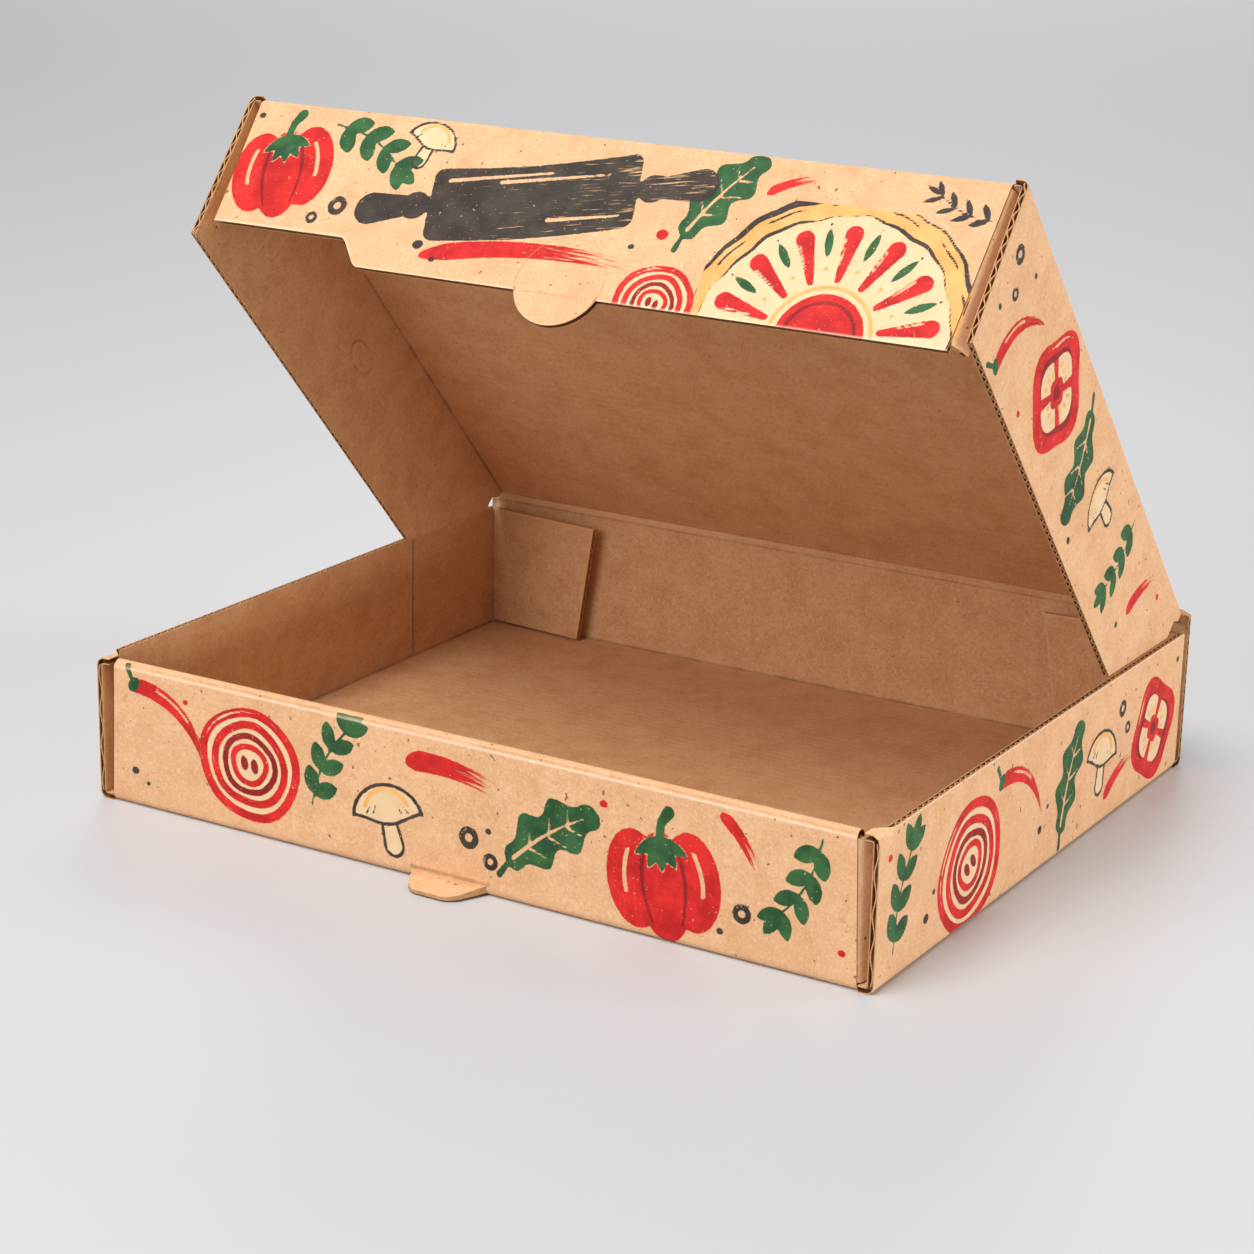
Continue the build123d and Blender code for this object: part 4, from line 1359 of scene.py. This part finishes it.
def tray_back_fields(points):
    """No print; ribs vary with the height.

    Dark lines of painted shade lie along the floor, up the rear corners and over the flaps' folds
    where they face the back wall, with a dark line of painted shadow under the hinge's ledge. Light
    lines of painted highlight run along the free ends and tops of the flaps and along the hinge fold
    itself, stronger towards the left, as if lit from there."""
    x, y, z = points.T
    across = np.abs(x)
    wall_face = y > back_y - BOARD - SLACK
    flap = (y < rear_corner_y + HALF + SLACK / 2) & (across < side_middle) & (z > flap_bottom - SLACK)
    behind_flap = (y > side_end_y + 0.6) & (y < back_y - BOARD + SLACK / 2)
    above_floor = corner(back_y - BOARD - y, z - BOARD)
    in_corner = corner(side_middle - HALF - across, rear_corner_y - HALF - y)
    free_end = across - side_middle + FLAP_LOW + (FLAP_TOP - FLAP_LOW) * z / wall_top
    below_hinge = hinge_z - z
    hinge_highlight = np.clip(np.abs(below_hinge - HINGE_HIGHLIGHT) - HINGE_HIGHLIGHT / 2, 0, None)
    # dark lines: painted shade in the inner corners and over the flaps' folds behind them, painted shadow
    # under the hinge's ledge
    crease = np.minimum.reduce([
        where_in(wall_face | (z < BOARD + 1), above_floor),
        where_in(flap, in_corner),
        where_in(wall_face, np.abs(below_hinge - HINGE_SHADOW) + 0.5),
        where_in((across > side_middle - FOLD + SLACK) & behind_flap, 0.0)])
    # light lines: painted highlight on the flaps' free ends and tops and on the hinge's ledge, fading to the
    # right
    rub_and_highlight = np.minimum.reduce([
        where_in(flap, np.abs(free_end)),
        where_in(flap, np.abs(z - wall_top + FLAP_DROP)),
        where_in(wall_face, hinge_highlight + np.clip((x - HINGE_FADE[0]) / HINGE_FADE[1], 0.2, 1.2))])
    return gathered(points, [], (z, x), crease, rub_and_highlight)


def lid_local(points):
    """The lid's own x, u and d from a point in the shared frame."""
    y, z = points[:, 1] - hinge_y, points[:, 2] - hinge_z
    u = -y * math.cos(open_angle) + z * math.sin(open_angle)
    d = -y * math.sin(open_angle) - z * math.cos(open_angle)
    return points[:, 0], u, d


def lid_side_fields(points):
    """Print on the two outer side panels; ribs vary with u.

    Dark lines of painted shade lie in the inner corners where the side panels leave the top. The
    scored ovals, and four finger-shaped loops near the front of the left panel, are thin lines: each
    oval has a light line of rubbed wear and painted highlight inside it, and each loop a light line of
    painted highlight with a dark line of painted shade outside it, the first loop filled light as
    painted highlight. The outer folds have light lines of rubbed wear and painted highlight."""
    x, u, d = lid_local(points)
    right, left = x > lid_x - HALF, x < HALF - lid_x
    inner = (np.abs(x) < lid_x - HALF) & (d > HALF - SLACK / 2 - TOP_SAG)
    on_panel = inner & (d > FOLD + HALF)
    on_left = on_panel & (x < 0)
    vent = oval(u - VENT_U, d - VENT_D, VENT_HALF_U, VENT_HALF_D)
    loops = []
    for k in range(4):
        loop_u, loop_d = (start - k * step for start, step in zip(FINGER_PLACE, FINGER_STEP))
        loops.append(rod(u, d, (loop_u, loop_d), (loop_u, loop_d + FINGER_LONG), FINGER_RADIUS))
    fingers = np.minimum.reduce(loops)
    # dark lines of painted shade in the inner corners
    crease = where_in(inner, corner(lid_x - BOARD - np.abs(x), d - HALF))
    # the finger loops' dark outline is painted shade
    score = np.minimum(where_in(on_panel, np.abs(vent)),
                       where_in(on_left, np.abs(fingers - LINE_BESIDE) + 0.2))
    # light lines: rubbed wear and painted highlight on the outer folds and inside the vent, painted highlight
    # round and over the finger loops
    rub_and_highlight = np.minimum.reduce([
        where_in(~inner, corner(lid_x - np.abs(x), d + HALF)),
        where_in(on_panel & (vent < 0), np.abs(vent + LINE_BESIDE) + 0.3),
        where_in(on_left, np.abs(fingers)),
        where_in(on_left, np.clip(loops[0], 0, None) + 0.6)])
    prints = [(right, LID_RIGHT_PRINT, -u, -d), (left, LID_LEFT_PRINT, u, -d)]
    return gathered(points, prints, (u, x + np.sign(x) * d), crease, rub_and_highlight, score)


def lid_flap_fields(points):
    """Print on the front flap; ribs vary with the depth.

    The thumb tab is part of a scored circle, with a faint crease where it leaves the flap, and a
    light line of rubbed wear and painted highlight runs along the flap's lower edge."""
    x, u, d = lid_local(points)
    front = u > LID_LENGTH - (d + HALF) * math.tan(LEAN) - HALF
    down = (d + HALF) / math.cos(LEAN)
    beside, below = np.abs(x - THUMB_X) - THUMB_HALF, np.abs(down - FLAP_DEPTH)
    circle = np.abs(disc(x - THUMB_X, down - FLAP_DEPTH - THUMB_DROP + thumb_radius, thumb_radius))
    nicks = corner(np.abs(beside), below - 0.6)
    return gathered(points, [(front, FLAP_PRINT, x, -down)], (d, x), where_in(front, nicks),
                    where_in(front, np.abs(down - flap_depth(x)) + 0.2),
                    where_in(front, np.minimum(circle, corner(beside, below))))


print("a part's attributes", [*GROUPS, "board", "marks"])

# %% [markdown]
# The strips become objects now. What turns with the tray rides on the tray's body and what turns with
# the lid on the lid's. The hinge fold is its own strip of board and rides on neither body. The two
# solids of the frame that these pieces stand for are hidden.

# %% Pieces and their bodies
tray_pieces = [
    make_piece("tray_floor_and_sides", [tray_sides], board_papers, tray_side_fields),
    make_piece("tray_front_wall", [tray_front, tray_ear, mirrored(tray_ear), tongue], board_papers,
               tray_front_fields),
    make_piece("tray_back_wall", [tray_back, tray_flap, mirrored(tray_flap)], board_papers, tray_back_fields),
    make_piece("tray_flutes", tray_ribbons, board_papers)]
lid_pieces = [
    make_piece("lid_top_and_sides", [lid_sides], board_papers, lid_side_fields),
    make_piece("lid_front_flap", [lid_flap, lid_ears[0], mirrored(lid_ears[1])], board_papers,
               lid_flap_fields),
    make_piece("lid_flutes", lid_ribbons, board_papers)]
hinge_fold = make_piece("hinge_fold", [hinge_strip], board_papers, tray_back_fields)
for body, pieces in (("tray", tray_pieces), ("lid", lid_pieces)):
    for piece in pieces:
        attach(piece, body)
    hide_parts(body)
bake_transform(hinge_fold)

# %% [markdown]
# The photograph shows the box alone on pale paper, seen a little from above and from the right. One
# broad lamp in front and one overhead give soft shadows. A long low one brightens the right side, a
# fourth catches the rear edges, and the last lights only the paper behind. The camera's place, turn
# and lens are the ones that bring the box's corners onto those of the photograph.

# %% Floor, lights and camera
CAMERA_PLACE = (0.5587, -0.9528, 0.4096)
CAMERA_YAW, CAMERA_PITCH, CAMERA_ROLL = -30.98, 17.52, 1.18
FOCAL = 3078.96      # in pixels of the photograph
PHOTO = 1254
SENSOR = 36.0


def camera_axes(yaw, pitch, roll):
    """Right, up and forward of a camera turned by yaw about z, tipped down and rolled."""
    yaw, pitch, roll = (math.radians(angle) for angle in (yaw, pitch, roll))
    forward = np.array([math.sin(yaw) * math.cos(pitch), math.cos(yaw) * math.cos(pitch), -math.sin(pitch)])
    level = np.array([math.cos(yaw), -math.sin(yaw), 0])
    upward = np.cross(level, forward)
    right = level * math.cos(roll) + upward * math.sin(roll)
    return right, np.cross(right, forward), forward


def set_in_scene(name, data, axes, place):
    """A new object with its x, y and z axes and its place."""
    thing = bpy.data.objects.new(name, data)
    bpy.context.scene.collection.objects.link(thing)
    turned = np.eye(4)
    turned[:3, :3] = np.stack(axes, 1)
    turned[:3, 3] = place
    thing.matrix_world = Matrix(turned.tolist())
    return thing


right_axis, up_axis, forward_axis = camera_axes(CAMERA_YAW, CAMERA_PITCH, CAMERA_ROLL)
camera_data = bpy.data.cameras.new("photo_camera")
camera_data.sensor_width = SENSOR
camera_data.lens = FOCAL / PHOTO * SENSOR
camera = set_in_scene("photo_camera", camera_data, (right_axis, up_axis, -forward_axis), CAMERA_PLACE)
bpy.context.scene.camera = camera

FLOOR = 6.0          # metres from the middle to each side
FLOOR_COLOUR, FLOOR_ROUGHNESS = linear("C6C6C7"), 0.45
WORLD_COLOUR, WORLD_STRENGTH = linear("F4F4F6"), 0.40
floor_mesh = bpy.data.meshes.new("studio_floor")
floor_corners = [(x * FLOOR, y * FLOOR, 0) for x, y in ((-1, -1), (1, -1), (1, 1), (-1, 1))]
floor_mesh.from_pydata(floor_corners, [], [(0, 1, 2, 3)])
floor = bpy.data.objects.new("studio_floor", floor_mesh)
bpy.context.scene.collection.objects.link(floor)
floor_paint = bpy.data.materials.new("matt_paper_backdrop")
floor_paint.use_nodes = True
floor_shader = floor_paint.node_tree.nodes["Principled BSDF"]
floor_shader.inputs["Base Color"].default_value = FLOOR_COLOUR
floor_shader.inputs["Roughness"].default_value = FLOOR_ROUGHNESS
floor_mesh.materials.append(floor_paint)

AIM = (0.0, 0.0, 0.08)
LAMPS = [            # name, place, aim, width and height in metres, watts
    ("key", (-0.9, -3.4, 1.9), AIM, 1.8, 1.8, 56.0),
    ("top", (-0.2, -0.9, 2.2), AIM, 1.5, 1.5, 45.0),
    ("low_right", (3.2, 0.2, 0.13), AIM, 2.2, 0.22, 41.0),
    ("rear_right", (2.6, 1.8, 1.2), AIM, 1.2, 1.2, 24.0),
    ("backdrop", (-1.8, 3.6, 2.2), (-1.8, 3.5, 0.0), 2.4, 2.4, 54.0)]
for name, lamp_place, aim, width, height, power in LAMPS:
    lamp_data = bpy.data.lights.new(name, "AREA")
    lamp_data.shape = "RECTANGLE"
    lamp_data.size, lamp_data.size_y = width, height
    lamp_data.energy = power
    back = unit(np.subtract(lamp_place, aim))
    side = unit(np.cross((0, 0, 1), back))
    set_in_scene(name, lamp_data, (side, np.cross(back, side), back), lamp_place)
world = bpy.data.worlds.new("studio")
bpy.context.scene.world = world
world.use_nodes = True
background = world.node_tree.nodes["Background"]
background.inputs["Color"].default_value = WORLD_COLOUR
background.inputs["Strength"].default_value = WORLD_STRENGTH
bpy.context.scene.view_settings.view_transform = "Standard"
